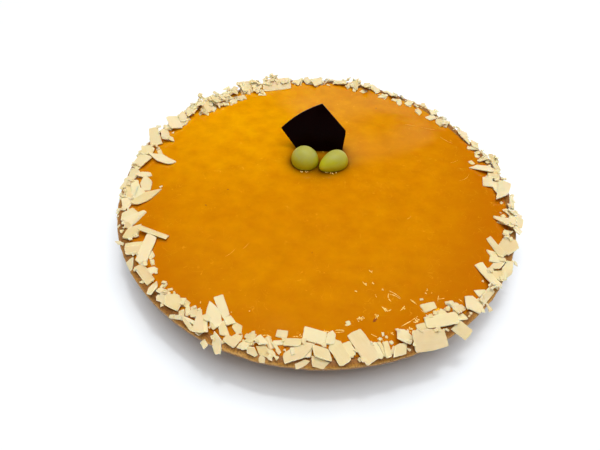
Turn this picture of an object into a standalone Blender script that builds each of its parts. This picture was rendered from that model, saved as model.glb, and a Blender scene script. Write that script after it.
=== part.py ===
# Apricot vlaai: a flat round tart with a yeast dough crust, a smooth apricot filling, white
# chocolate shavings along its edge, two green grapes and a standing plaque of dark chocolate.
# Metres, +Z up. The origin is the middle of the flat underside, and -Y is the front.

import math
import random

import bmesh
import bpy
import numpy as np
from mathutils import Matrix, Vector

# Driving sizes of the tart
RIM_RADIUS = 0.140
BASE_RADIUS = 0.1275
LIP_HEIGHT = 0.027
RIM_WIDTH = 0.0062
CROWN_RISE = 0.0013
WALL_THICKNESS = 0.0058
FLOOR_THICKNESS = 0.005
GAP = 0.0003
SECTORS = 64

# The crust's unevenness: its wandering lip, its pressed side at the back right, its crown
FLAT_BEARING = math.radians(28)
FLAT_SPREAD = math.radians(15)
FLAT_DEPTH = 0.0030
CROWN_WAVE = 0.0004

# The filling's surface: its dome over the rim and its soft swells
DOME_RISE = 0.0012
SWELL = 0.00035

# Grapes: middle, half length, half width, turn of the long axis, narrowing towards its low end
GRAPES = {
    "grape_left": (Vector((-0.0091, 0.0229, 0.0308)), 0.0098, 0.0106, math.radians(48), 0.0),
    "grape_right": (Vector((0.0120, 0.0195, 0.0316)), 0.0120, 0.0083, math.radians(36), 0.27),
}

# Plaque: where its front face leaves the filling, its lean, and its outline across and up
PLAQUE_FOOT = Vector((0.0042, 0.0361, 0.0278))
PLAQUE_LEAN = math.radians(20)
PLAQUE_THICKNESS = 0.0022
PLAQUE_DEPTH = 0.005
PLAQUE_LEFT = (-0.0320, 0.0180)
PLAQUE_TOP = (-0.0015, 0.0372)
PLAQUE_BULGE = 0.0021
PLAQUE_RIGHT = ((0.0172, 0.0174), (0.0173, 0.0145))
PLAQUE_FEET = ((0.0150, -PLAQUE_DEPTH), (-0.0148, -PLAQUE_DEPTH))

# Shavings: plates of white chocolate, as broken off a block by a plane. Each sinks a little into
# what it is fused to, stays clear of the other node, and lies no steeper than the most slope.
SHAVING_THICKNESS = 0.0009
SINK = 0.0004
CLEAR = 0.0005
TOUCH = 0.00015
MOST_SLOPE = 0.5

# Their outlines, one unit long and wide, and how far a corner wanders from its place
CORNER_JITTER = 0.07
SHAPES = {
    "plate": ((-0.50, -0.46), (0.46, -0.50), (0.50, 0.44), (-0.42, 0.50)),
    "wedge": ((-0.50, -0.10), (0.42, -0.50), (0.50, 0.46), (-0.46, 0.12)),
    "lozenge": ((-0.50, 0.04), (-0.06, -0.50), (0.50, -0.26), (0.42, 0.34), (-0.04, 0.50)),
    "sliver": ((-0.50, -0.34), (0.50, -0.50), (0.48, 0.46), (-0.46, 0.40)),
    "kite": ((-0.50, 0.06), (0.04, -0.50), (0.50, -0.04), (-0.02, 0.50)),
    "blade": ((-0.50, -0.42), (0.50, -0.50), (0.24, 0.30), (-0.30, 0.50)),
    "spade": ((-0.50, 0.05), (-0.22, -0.48), (0.50, -0.50), (0.46, 0.44), (-0.26, 0.50)),
}

# The shavings that have their own place, lower ones first: bearing, distance from the middle,
# length, width, heading, shape, in millimetres and degrees. Bearings run counter-clockwise from
# +X, a heading runs so from straight outwards, and a width below nothing mirrors the shape.
LARGE_SHAVINGS = (
    (160.3, 136.1, 18.4, 9.5, 130, "sliver"), (167.2, 133.9, 10.5, 11.4, 173, "lozenge"),
    (166.5, 124.2, 8.2, -3.3, 129, "plate"), (158.2, 130.5, 12.4, -6.5, 132, "sliver"),
    (158.8, 124.4, 8.4, 4.8, 165, "kite"), (151, 133.8, 16.5, -10.1, 142, "plate"),
    (146.7, 133.7, 14.4, 7.5, 136, "lozenge"), (142.8, 133, 14.1, -5, 115, "lozenge"),
    (136.2, 130, 13.6, -7.3, 322, "spade"), (126, 124.6, 8.6, -6.8, 183, "lozenge"),
    (172.3, 132.4, 12.4, 9.8, 256, "sliver"), (170, 119.5, 24, -9, 166, "lozenge"),
    (178.3, 133.4, 8.7, -12.6, 6, "lozenge"), (182.3, 136.9, 14, 5, 76, "blade"),
    (178.9, 126.7, 11.9, 4.6, 202, "lozenge"), (182.4, 122.9, 15.8, -8.9, 104, "lozenge"),
    (187.8, 132.6, 20.1, 5.4, 280, "spade"), (185.9, 128.8, 19.6, 6.1, 287, "spade"),
    (188.3, 125.3, 18.1, -7.2, 263, "blade"), (191, 134.1, 11.1, -5.6, 280, "spade"),
    (189, 120.6, 24.2, 8.2, 38, "lozenge"), (195.8, 132.3, 12, -7.1, 216, "spade"),
    (197.4, 128.1, 16.6, -9.3, 33, "wedge"), (200, 133.4, 7, -4.5, 122, "lozenge"),
    (203, 130.6, 16.1, 8.1, 46, "lozenge"), (205.2, 138.8, 8.8, 2.4, 126, "lozenge"),
    (208.3, 131.2, 12.5, 4.6, 173, "sliver"), (210.1, 134, 10.4, 5.5, 351, "plate"),
    (213.7, 125.1, 7.1, 5.2, 61, "kite"), (211.1, 125.9, 22.7, 7.2, 52, "plate"),
    (206.3, 118.3, 20.8, -5.3, 316, "sliver"), (214, 137.5, 7.4, -5.4, 256, "wedge"),
    (218.5, 128.9, 7.1, 5.6, 129, "lozenge"), (219, 134, 16.3, -6.5, 272, "plate"),
    (227.6, 138.1, 5, 2.2, 249, "blade"), (227, 132.2, 7.4, -4.5, 291, "spade"),
    (224.6, 135.7, 13.3, -5.3, 44, "lozenge"), (228.9, 135.1, 5.9, -5, 111, "sliver"),
    (232.6, 128.1, 3.2, -4.1, 309, "spade"), (231.7, 133, 11.2, -10.4, 247, "lozenge"),
    (233.8, 128.2, 4.5, 3.2, 194, "plate"), (235.4, 130.6, 8.8, 2.7, 38, "lozenge"),
    (235.6, 135.1, 5.4, 3.1, 224, "spade"), (234.6, 137.8, 7.6, 2.4, 110, "sliver"),
    (238, 134.5, 7.3, -2.1, 282, "plate"), (238.4, 137.2, 7.9, 2.6, 79, "sliver"),
    (237.4, 130.4, 5.8, -4.5, 20, "spade"), (241.9, 132.2, 13.3, 2.7, 225, "sliver"),
    (240.3, 133.3, 17.3, 7.5, 38, "wedge"), (244.2, 139.3, 4.5, 3.1, 245, "plate"),
    (242.3, 117.7, 15.7, -6.1, 233, "sliver"), (241.8, 124.7, 18.9, 8.7, 52, "lozenge"),
    (243.7, 131.9, 5.7, 2.2, 65, "spade"), (246.2, 130.1, 9.4, 5.3, 232, "blade"),
    (249.4, 125.5, 5.6, 8.3, 326, "lozenge"), (246.5, 124.1, 5.5, -5.9, 53, "sliver"),
    (250.3, 131.1, 6.6, -4.8, 104, "lozenge"), (246.8, 136.8, 12.1, -5.4, 38, "lozenge"),
    (249.6, 135.2, 8.1, -5.9, 81, "sliver"), (253.1, 134.8, 6, 6.1, 236, "spade"),
    (255.2, 135.2, 4.5, 6.5, 356, "lozenge"), (253.7, 128.8, 4.6, -6.5, 267, "plate"),
    (258.4, 128.6, 7.6, -3.2, 36, "sliver"), (257.6, 133.9, 9.3, -5.4, 70, "lozenge"),
    (256.2, 129.8, 8.7, -5.6, 44, "blade"), (259.6, 132.8, 5.3, -3.5, 216, "blade"),
    (257.9, 139.1, 4.7, 3.7, 230, "lozenge"), (259.6, 137.5, 3.7, 2.7, 233, "lozenge"),
    (260.5, 127.4, 5.8, -3.2, 103, "sliver"), (260.3, 130.5, 7.4, 1.9, 48, "plate"),
    (260.8, 122.1, 6.5, 5.6, 91, "sliver"), (266.8, 137.4, 8.4, -2.8, 293, "spade"),
    (267.8, 130.1, 9.6, -5.2, 177, "sliver"), (265.8, 131.9, 19.9, -9.1, 304, "lozenge"),
    (264, 126.4, 10.2, 5, 278, "plate"), (264.3, 132, 4.7, -2.7, 194, "sliver"),
    (270.5, 137.3, 10.5, -5.3, 75, "blade"), (271, 131.8, 14.3, -10.2, 225, "kite"),
    (269.3, 121.2, 13.6, -8.7, 76, "plate"), (277.7, 130.3, 10.2, 5.9, 197, "spade"),
    (275.1, 130.6, 17.5, 8, 22, "spade"), (273.6, 122.3, 9.3, 4.9, 346, "spade"),
    (284.2, 132.7, 9.4, -4.3, 185, "sliver"), (285.4, 133, 9.7, 2.6, 6, "sliver"),
    (281.3, 129.5, 21.7, -9.7, 195, "plate"), (286.4, 134.2, 10.7, -3.5, 167, "plate"),
    (289.1, 135.7, 14.6, 6.8, 125, "kite"), (291.6, 130, 9.7, 11.6, 101, "lozenge"),
    (305.7, 140.5, 14, 9.9, 66, "kite"), (297, 136.8, 20.5, -11.4, 256, "sliver"),
    (298.2, 128.5, 9.8, 5, 76, "sliver"), (307.5, 135.4, 6.2, 4.4, 79, "sliver"),
    (304.6, 127.4, 6, -5.3, 107, "sliver"), (302.7, 130.9, 19.8, 7.9, 247, "plate"),
    (308.7, 130.6, 9.7, -5, 269, "sliver"), (303.1, 119.6, 9.2, 6, 259, "sliver"),
    (308.9, 125.9, 5.1, 3.9, 140, "lozenge"), (312.7, 134.3, 10.4, 13.1, 79, "lozenge"),
    (317.8, 132.7, 6.5, -5.8, 241, "wedge"), (317.4, 137, 14.9, 4.1, 91, "plate"),
    (325.9, 135.7, 9.3, 6.9, 227, "sliver"), (328.6, 139, 18.2, 6.1, 90, "lozenge"),
    (323.3, 131.6, 21.6, 5.9, 145, "sliver"), (332.3, 127.5, 9.3, -5.2, 340, "kite"),
    (330.4, 131, 8, -5.9, 187, "sliver"), (327.9, 133.3, 11.9, -6, 230, "kite"),
    (336, 135.3, 14.7, -12.2, 96, "lozenge"), (334.9, 128.3, 17.1, -4.4, 314, "sliver"),
    (343.2, 139.8, 13.6, 7.4, 274, "kite"), (341.6, 133.3, 6.4, -4, 292, "kite"),
    (347.4, 138.2, 7.7, 7.2, 351, "sliver"), (346.8, 143, 8.4, -5.1, 83, "sliver"),
    (350.1, 139.5, 11, -6, 344, "spade"), (345.7, 131.1, 14.9, -10.5, 328, "wedge"),
    (354.9, 139.1, 14.9, -3.9, 261, "sliver"), (0.6, 131.9, 13.9, -7.8, 86, "sliver"),
    (358.3, 136.2, 21.9, 8.8, 254, "blade"), (6.5, 134, 12.5, -8, 253, "spade"),
    (3, 126.2, 7, 10.7, 349, "sliver"), (9.8, 127.4, 17.4, -8.4, 142, "blade"),
    (13.6, 131.7, 6.8, -3.6, 352, "sliver"), (11.5, 137.5, 13.3, -5.9, 279, "sliver"),
    (13.5, 122.9, 4.4, -3.7, 108, "sliver"), (28.6, 137.6, 8.4, -12.5, 317, "sliver"),
    (24.9, 133.2, 11.7, 3.9, 280, "blade"), (20.9, 134.6, 13.6, 5, 88, "kite"),
    (37.1, 129.8, 9.6, 4.9, 259, "spade"), (41, 129.2, 10.1, -7, 301, "kite"),
    (42.2, 134.8, 10.3, -7, 16, "kite"), (46.6, 128.1, 9.9, -6.4, 38, "kite"),
    (52.1, 132.9, 8.4, 6.7, 148, "lozenge"), (55.5, 128.9, 9.1, 4.5, 39, "spade"),
    (60.8, 136.2, 14.1, -6.9, 230, "wedge"), (67.2, 135.7, 11.8, 5.3, 235, "sliver"),
    (70.4, 135.4, 15.6, -6.3, 9, "sliver"), (74.8, 133.9, 13.6, -6.5, 185, "blade"),
    (80.7, 134.9, 11.5, 5.9, 276, "sliver"), (89.9, 132.6, 10.8, -8.7, 123, "sliver"),
    (96.8, 134, 9.4, 5.3, 135, "wedge"),
)

# The long plates that lean on the heap at the back left: bearing and distance of the lower edge,
# length along the rim, height of the face, lean back from upright
LEANING_SHAVINGS = (
    (106, 0.1255, 0.027, 0.0115, 60),
    (118, 0.1300, 0.012, 0.0115, 58),
)

# The rest of the shavings: from bearing, to bearing, how many, nearest, reach, longest, and how
# often a place under one of the others is looked for
SHAVING_BEDS = (
    (15, 66, 12, 0.1290, 0.1390, 0.009, 3),
    (66, 100, 21, 0.1300, 0.1415, 0.009, 1),
    (100, 118, 12, 0.1290, 0.1425, 0.010, 1),
    (118, 150, 38, 0.1280, 0.1425, 0.009, 1),
    (150, 200, 16, 0.1280, 0.1415, 0.009, 3),
    (200, 262, 12, 0.1280, 0.1405, 0.009, 4),
    (262, 312, 8, 0.1260, 0.1405, 0.009, 4),
    (312, 375, 10, 0.1290, 0.1410, 0.010, 4),
)

# The shortest share of the longest, the half share of a large shaving that hides a place, and how
# far a shaving may shift to find something to lie on
SHORTEST = 0.4
HIDDEN = 0.4
NUDGES = (0, -0.0006, 0.0006, -0.0012, 0.0012, -0.0018, 0.0018, -0.0026, -0.0036)
SEED = 16

# The height map that the shavings are laid on, and the strip at a node's edge that holds nothing up
EDGE_STRIP = 0.0016
CELL = 0.0005
HALF_MAP = 0.160
SAMPLE = 0.0003


def smooth_step(low, high, value):
    share = np.clip((value - low) / (high - low), 0.0, 1.0)
    return share * share * (3 - 2 * share)


def lip_wander(bearing):
    """How far the lip stands out at this bearing, from a true circle."""
    slow = 0.0003 * np.sin(3 * bearing + 3.0) + 0.0002 * np.sin(7 * bearing + 2.1)
    turn = np.arctan2(np.sin(bearing - FLAT_BEARING), np.cos(bearing - FLAT_BEARING))
    return slow - FLAT_DEPTH * np.exp(-((turn / FLAT_SPREAD) ** 2))


def crown_lift(bearing, distance):
    """The crown's rise and fall, nothing at either edge of the rim."""
    middle = RIM_RADIUS - RIM_WIDTH / 2
    across = np.clip(1 - ((distance - middle) / (RIM_WIDTH / 2)) ** 2, 0.0, 1.0)
    return CROWN_WAVE * across * (np.sin(5 * bearing + 1.0) + 0.7 * np.sin(11 * bearing + 0.4))


def warp_share(distance, height):
    """How much of the lip's wander a point takes: none on the underside or at the axis."""
    return (height / LIP_HEIGHT) * (distance / RIM_RADIUS) ** 2


def rim_top():
    """The rim's top in section, from the filling out to the lip: distance and height."""
    inner = RIM_RADIUS - RIM_WIDTH
    return (
        (inner, LIP_HEIGHT - 0.0004),
        (inner + 0.0014, LIP_HEIGHT + CROWN_RISE * 0.85),
        (inner + 0.0030, LIP_HEIGHT + CROWN_RISE),
        (RIM_RADIUS - 0.0010, LIP_HEIGHT + 0.0003),
        (RIM_RADIUS, LIP_HEIGHT - 0.0005),
    )


def filling_height(x, y):
    """The filling's top, as if no shaving lay on it."""
    edge = RIM_RADIUS - RIM_WIDTH
    distance = np.hypot(x, y)
    dome = DOME_RISE * (1 - np.clip(distance / edge, 0.0, 1.0) ** 4)
    swell = np.sin(58 * x + 31 * y + 0.6) + np.sin(-37 * x + 74 * y + 2.0) + 0.6 * np.sin(112 * x - 45 * y)
    inside = 1 - smooth_step(edge - 0.030, edge - 0.004, distance)
    return LIP_HEIGHT + 0.0002 + dome + SWELL * swell * inside


def turned_solid(name, profile):
    """A closed solid turned from (distance, height) points, from the axis below to the axis above."""
    mesh = bmesh.new()
    rings = []
    for distance, height in profile:
        if distance == 0:
            rings.append([mesh.verts.new((0, 0, height))])
            continue
        ring = []
        for sector in range(SECTORS):
            bearing = 2 * math.pi * sector / SECTORS
            out = distance + lip_wander(bearing) * warp_share(distance, height)
            up = height
            if height > LIP_HEIGHT - 0.001:
                up += crown_lift(bearing, distance)
            ring.append(mesh.verts.new((out * math.cos(bearing), out * math.sin(bearing), up)))
        rings.append(ring)
    for below, above in zip(rings, rings[1:]):
        for sector in range(SECTORS):
            after = (sector + 1) % SECTORS
            if len(below) == 1:
                mesh.faces.new((below[0], above[after], above[sector]))
            elif len(above) == 1:
                mesh.faces.new((below[sector], below[after], above[0]))
            else:
                mesh.faces.new((below[sector], below[after], above[after], above[sector]))
    return new_object(name, mesh)


def new_object(name, mesh):
    data = bpy.data.meshes.new(name)
    bmesh.ops.recalc_face_normals(mesh, faces=mesh.faces)
    mesh.to_mesh(data)
    mesh.free()
    made = bpy.data.objects.new(name, data)
    bpy.context.collection.objects.link(made)
    return made


def make_crust():
    inner = RIM_RADIUS - RIM_WIDTH
    floor_edge = BASE_RADIUS - WALL_THICKNESS
    profile = [
        (0, 0),
        (BASE_RADIUS - 0.0020, 0),
        (BASE_RADIUS - 0.0005, 0.0006),
        (BASE_RADIUS + 0.0004, 0.0022),
        (BASE_RADIUS + 0.0052, 0.0120),
        (RIM_RADIUS - 0.0022, LIP_HEIGHT - 0.0050),
        (RIM_RADIUS - 0.0004, LIP_HEIGHT - 0.0026),
    ]
    profile += reversed(rim_top())
    profile += [
        (inner - 0.0010, LIP_HEIGHT - 0.0030),
        (floor_edge + 0.0010, FLOOR_THICKNESS + 0.0030),
        (floor_edge - 0.0020, FLOOR_THICKNESS),
        (0, FLOOR_THICKNESS),
    ]
    return turned_solid("crust", profile)


def make_filling():
    edge = RIM_RADIUS - RIM_WIDTH - GAP
    floor_edge = BASE_RADIUS - WALL_THICKNESS - GAP
    bottom = FLOOR_THICKNESS + GAP
    profile = [
        (0, bottom),
        (floor_edge - 0.0020, bottom),
        (floor_edge + 0.0010, bottom + 0.0029),
        (edge - 0.0010, LIP_HEIGHT - 0.0030),
        (edge, LIP_HEIGHT - 0.0006),
    ]
    for distance in (edge - 0.0012, edge - 0.006, 0.116, 0.104, 0.090, 0.074, 0.056, 0.036, 0.016, 0):
        profile.append((distance, LIP_HEIGHT))
    filling = turned_solid("apricot_filling", profile)
    for vertex in filling.data.vertices:
        if abs(vertex.co.z - LIP_HEIGHT) < 1e-6:
            vertex.co.z = filling_height(vertex.co.x, vertex.co.y)
    return filling


def make_grape(name, middle, half_length, half_width, turn, narrowing, spare=0.0):
    """A smooth fruit that lies on its side, with spare added all round for a cutter."""
    mesh = bmesh.new()
    bmesh.ops.create_uvsphere(mesh, u_segments=20, v_segments=12, radius=1.0)
    for vertex in mesh.verts:
        across, up, along = vertex.co
        girth = (half_width + spare) * (1 + narrowing * along)
        vertex.co = ((half_length + spare) * along, girth * across, girth * up)
    bmesh.ops.transform(mesh, matrix=Matrix.Rotation(turn, 4, "Z"), verts=mesh.verts)
    bmesh.ops.translate(mesh, vec=middle, verts=mesh.verts)
    grape = new_object(name, mesh)
    grape.data.shade_smooth()
    return grape


def plaque_outline():
    """The plaque's outline across and up its face, with its long upper edge as a flat arc."""
    start, end = Vector(PLAQUE_LEFT), Vector(PLAQUE_TOP)
    chord = end - start
    outward = Vector((-chord.y, chord.x)).normalized()
    points = []
    steps = 8
    for step in range(steps + 1):
        share = step / steps
        points.append(start + chord * share + outward * PLAQUE_BULGE * 4 * share * (1 - share))
    points += [Vector(corner) for corner in PLAQUE_RIGHT + PLAQUE_FEET]
    return points


def make_plaque(name, spare=0.0):
    """The plaque, with spare added to every side for a cutter."""
    outline = plaque_outline()
    middle = sum(outline, Vector((0, 0))) / len(outline)
    across = Vector((1, 0, 0))
    up = Vector((0, math.sin(PLAQUE_LEAN), math.cos(PLAQUE_LEAN)))
    back = up.cross(across) * -1
    mesh = bmesh.new()
    faces = []
    for depth in (-spare, PLAQUE_THICKNESS + spare):
        corners = []
        for point in outline:
            point = point + (point - middle).normalized() * spare * 1.5
            place = PLAQUE_FOOT + across * point.x + up * point.y + back * depth
            corners.append(mesh.verts.new(place))
        faces.append(corners)
    mesh.faces.new(faces[0])
    mesh.faces.new(reversed(faces[1]))
    for index in range(len(outline)):
        after = (index + 1) % len(outline)
        mesh.faces.new((faces[0][index], faces[1][index], faces[1][after], faces[0][after]))
    return new_object(name, mesh)


class LayingMap:
    """How low a shaving of either node may lie in each cell: sunk a little into its own node,
    and clear of the other one."""

    def __init__(self):
        side = np.arange(-HALF_MAP, HALF_MAP, CELL) + CELL / 2
        x, y = np.meshgrid(side, side, indexing="ij")
        bearing = np.arctan2(y, x)
        distance = np.hypot(x, y)
        true_distance = distance - lip_wander(bearing) * warp_share(distance, LIP_HEIGHT)
        inner = RIM_RADIUS - RIM_WIDTH
        section = np.array(rim_top())
        crust = np.interp(true_distance, section[:, 0], section[:, 1])
        crust = crust + crown_lift(bearing, true_distance)
        filling = filling_height(x, y)
        over_crust = true_distance > inner
        beyond = true_distance > RIM_RADIUS + CLEAR
        self.lowest = {
            "filling": np.where(over_crust, crust + CLEAR, filling - SINK),
            "crust": np.where(over_crust, crust - SINK, filling + CLEAR),
        }
        for lowest in self.lowest.values():
            lowest[beyond] = 0.0
        self.own = {
            "filling": true_distance < inner - EDGE_STRIP,
            "crust": (true_distance > inner + EDGE_STRIP) & (true_distance < RIM_RADIUS),
        }

    def cells(self, x, y):
        return ((x + HALF_MAP) / CELL).astype(int), ((y + HALF_MAP) / CELL).astype(int)

    def raise_to(self, owner, cells, z, is_own):
        as_high = z > self.lowest[owner][cells] - 1e-7
        np.maximum.at(self.lowest[owner], cells, z)
        self.own[owner][cells[0][as_high], cells[1][as_high]] = is_own

    def cover(self, owner, points, normal, holds):
        """Adds a flat surface: its height at each cell's middle, and with room around for the other."""
        x, y, z = points.T
        across, along = self.cells(x, y)
        middle_x, middle_y = (across + 0.5) * CELL - HALF_MAP, (along + 0.5) * CELL - HALF_MAP
        level = z - (normal.x * (middle_x - x) + normal.y * (middle_y - y)) / normal.z
        self.raise_to(owner, (across, along), level - SINK, holds)
        other = "crust" if owner == "filling" else "filling"
        for i in (-1, 0, 1):
            for j in (-1, 0, 1):
                self.raise_to(other, (across + i, along + j), z + CLEAR, False)


def inside_outline(outline, x, y):
    inside = np.ones(len(x), bool)
    for (x1, y1), (x2, y2) in zip(outline, np.roll(outline, -1, axis=0)):
        inside &= (x2 - x1) * (y - y1) - (y2 - y1) * (x - x1) >= -1e-9
    return inside


def outline_samples(outline):
    """Points all over the outline, and points along its edges."""
    low, high = outline.min(axis=0), outline.max(axis=0)
    x, y = np.meshgrid(np.arange(low[0], high[0], SAMPLE), np.arange(low[1], high[1], SAMPLE))
    inside = inside_outline(outline, x.ravel(), y.ravel())
    edges = []
    for start, end in zip(outline, np.roll(outline, -1, axis=0)):
        count = 2 + int(np.linalg.norm(end - start) / SAMPLE)
        edges.append(start + np.linspace(0, 1, count)[:, None] * (end - start))
    return np.column_stack((x.ravel(), y.ravel()))[inside], np.concatenate(edges)


def resting_plane(heights, x, y):
    """The lowest that a flat plate can lie on these heights: its middle and its two slopes."""
    best = (1.0, 0.0, 0.0)
    reach = MOST_SLOPE
    for _ in range(8):
        slopes_x, slopes_y = np.meshgrid(np.linspace(-1, 1, 9), np.linspace(-1, 1, 9))
        slopes_x = np.clip(best[1] + reach * slopes_x.ravel(), -MOST_SLOPE, MOST_SLOPE)
        slopes_y = np.clip(best[2] + reach * slopes_y.ravel(), -MOST_SLOPE, MOST_SLOPE)
        middles = (heights - np.outer(slopes_x, x) - np.outer(slopes_y, y)).max(axis=1)
        lowest = int(middles.argmin())
        if middles[lowest] < best[0]:
            best = (float(middles[lowest]), float(slopes_x[lowest]), float(slopes_y[lowest]))
        reach *= 0.5
    return best


def shaving_outline(shape, length, width, dice, jitter=CORNER_JITTER):
    """The outline's corners, counter-clockwise. A width below nothing gives the mirrored shape."""
    corners = []
    for along, across in SHAPES[shape]:
        along += dice.uniform(-jitter, jitter)
        across += dice.uniform(-jitter, jitter)
        corners.append((along * length, across * width))
    if width < 0:
        corners = corners[:1] + corners[:0:-1]
    return np.array(corners)


def large_shavings():
    """The rows of the large ones, in metres."""
    for bearing, distance, length, width, heading, shape in LARGE_SHAVINGS:
        yield bearing, distance / 1000, length / 1000, width / 1000, heading, shape


def lie_down(surface, owner, bearing, distance, heading, outline):
    """Lays a shaving on what is there: its middle, its two axes and its normal. The axes have their
    full length in plan, so a tilted shaving covers the ground that was tested. It gives nothing
    where the shaving would touch only the other node."""
    angle = math.radians(bearing)
    turn = math.radians(bearing + heading)
    samples = np.concatenate(outline_samples(outline))
    dx = samples[:, 0] * math.cos(turn) - samples[:, 1] * math.sin(turn)
    dy = samples[:, 0] * math.sin(turn) + samples[:, 1] * math.cos(turn)
    x, y = distance * math.cos(angle), distance * math.sin(angle)
    cells = surface.cells(x + dx, y + dy)
    lowest = surface.lowest[owner][cells]
    z, slope_x, slope_y = resting_plane(lowest, dx, dy)
    touching = z + slope_x * dx + slope_y * dy - lowest < TOUCH
    if not (touching & surface.own[owner][cells]).any():
        return None
    slope = Vector((slope_x, slope_y))
    along, across = Vector((math.cos(turn), math.sin(turn))), Vector((-math.sin(turn), math.cos(turn)))
    along, across = (axis.to_3d() + Vector((0, 0, slope.dot(axis))) for axis in (along, across))
    return Vector((x, y, z)), along, across, along.cross(across).normalized()


def lean_back(bearing, distance, height, lean):
    """Stands a shaving on its long lower edge: its middle, its two axes and its normal."""
    angle = math.radians(bearing)
    tilt = math.radians(lean)
    outward = Vector((math.cos(angle), math.sin(angle), 0))
    along = Vector((math.sin(angle), -math.cos(angle), 0))
    across = (outward * math.sin(tilt) + Vector((0, 0, math.cos(tilt)))).normalized()
    foot = outward * distance
    foot.z = float(filling_height(foot.x, foot.y)) - SINK
    return foot + across * height / 2, along, across, along.cross(across)


def cover_with(surface, owner, outline, middle, along, across, normal):
    for samples, holds in zip(outline_samples(outline), (True, False)):
        for lift in (0, SHAVING_THICKNESS):
            base = np.array(middle + normal * lift)
            points = base + samples[:, :1] * np.array(along) + samples[:, 1:] * np.array(across)
            surface.cover(owner, points, normal, holds)


def under_large(bearing, distance):
    """Whether a large shaving will hide this place."""
    x, y = distance * math.cos(math.radians(bearing)), distance * math.sin(math.radians(bearing))
    for large_bearing, large_distance, length, width, heading, _ in large_shavings():
        angle, turn = math.radians(large_bearing), math.radians(large_bearing + heading)
        dx, dy = x - large_distance * math.cos(angle), y - large_distance * math.sin(angle)
        along = dx * math.cos(turn) + dy * math.sin(turn)
        across = dy * math.cos(turn) - dx * math.sin(turn)
        if abs(along) < length * HIDDEN and abs(across) < abs(width) * HIDDEN:
            return True
    for large_bearing, foot, length, height, lean in LEANING_SHAVINGS:
        aside = math.radians(abs(bearing - large_bearing)) * foot
        behind = foot + height * math.sin(math.radians(lean))
        if aside < length / 2 and distance < behind:
            return True
    return False


def lay_shavings():
    """Every shaving as (owner, outline, middle, along, across, normal), the large ones last."""
    dice = random.Random(SEED)
    surface = LayingMap()
    laid = []

    def add(owner, outline, place):
        cover_with(surface, owner, outline, *place)
        laid.append((owner, outline, *place))

    def lay(bearing, distance, heading, outline):
        for nudge in NUDGES:
            for owner in ("filling", "crust"):
                place = lie_down(surface, owner, bearing, distance + nudge, heading, outline)
                if place:
                    add(owner, outline, place)
                    return
        print("left out: a shaving at bearing", round(bearing))

    for bearing, distance, length, height, lean in LEANING_SHAVINGS:
        outline = shaving_outline("plate", length, height, dice)
        outline[:, 1] = np.maximum(outline[:, 1], -height / 2)
        add("filling", outline, lean_back(bearing, distance, height, lean))
    for first, last, count, nearest, reach, longest, tries in SHAVING_BEDS:
        for index in range(count):
            length = longest * dice.uniform(SHORTEST, 1.0)
            width = length * dice.uniform(0.35, 0.70)
            heading = dice.uniform(0, 360)
            turn = math.radians(heading)
            half = (length * abs(math.cos(turn)) + width * abs(math.sin(turn))) / 2
            for _ in range(tries):
                bearing = first + (last - first) * (index + dice.uniform(0, 1)) / count
                distance = dice.uniform(nearest, reach - half)
                if under_large(bearing, distance):
                    break
            lay(bearing, distance, heading, shaving_outline(dice.choice(list(SHAPES)), length, width, dice))
    for bearing, distance, length, width, heading, shape in large_shavings():
        lay(bearing, distance, heading, shaving_outline(shape, length, width, dice, jitter=0))
    return laid


def make_shaving(outline, middle, along, across, normal):
    mesh = bmesh.new()
    rings = []
    for lift in (0.0, SHAVING_THICKNESS):
        ring = []
        for x, y in outline:
            ring.append(mesh.verts.new(middle + along * x + across * y + normal * lift))
        rings.append(ring)
    mesh.faces.new(reversed(rings[0]))
    mesh.faces.new(rings[1])
    for index in range(len(outline)):
        after = (index + 1) % len(outline)
        mesh.faces.new((rings[0][index], rings[0][after], rings[1][after], rings[1][index]))
    return new_object("shaving", mesh)


def apply_boolean(target, operation, collection):
    """Joins or cuts with every object of a collection, then removes them."""
    modifier = target.modifiers.new("joined", "BOOLEAN")
    modifier.operation = operation
    modifier.operand_type = "COLLECTION"
    modifier.collection = collection
    modifier.solver = "EXACT"
    for other in bpy.context.selected_objects:
        other.select_set(False)
    bpy.context.view_layer.objects.active = target
    bpy.ops.object.modifier_apply(modifier=modifier.name)
    for helper in list(collection.objects):
        bpy.data.objects.remove(helper)
    bpy.data.collections.remove(collection)


def in_collection(name, objects):
    collection = bpy.data.collections.new(name)
    bpy.context.scene.collection.children.link(collection)
    for item in objects:
        bpy.context.collection.objects.unlink(item)
        collection.objects.link(item)
    return collection


def keep_largest_body(target):
    """Fills sealed hollows and drops loose scraps: only the biggest closed surface stays."""
    mesh = bmesh.new()
    mesh.from_mesh(target.data)
    bmesh.ops.triangulate(mesh, faces=mesh.faces)
    unseen = set(mesh.verts)
    bodies = []
    while unseen:
        queue = [unseen.pop()]
        body = set(queue)
        while queue:
            for edge in queue.pop().link_edges:
                for vertex in edge.verts:
                    if vertex in unseen:
                        unseen.discard(vertex)
                        body.add(vertex)
                        queue.append(vertex)
        bodies.append(body)
    bodies.sort(key=len)
    for body in bodies[:-1]:
        bmesh.ops.delete(mesh, geom=list(body), context="VERTS")
    mesh.to_mesh(target.data)
    mesh.free()
    return len(bodies) - 1


def add_material(target, colour, roughness):
    material = bpy.data.materials.new(target.name)
    material.use_nodes = True
    shader = material.node_tree.nodes["Principled BSDF"]
    shader.inputs["Base Color"].default_value = (*colour, 1.0)
    shader.inputs["Roughness"].default_value = roughness
    shader.inputs["Metallic"].default_value = 0.0
    target.data.materials.clear()
    target.data.materials.append(material)


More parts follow.
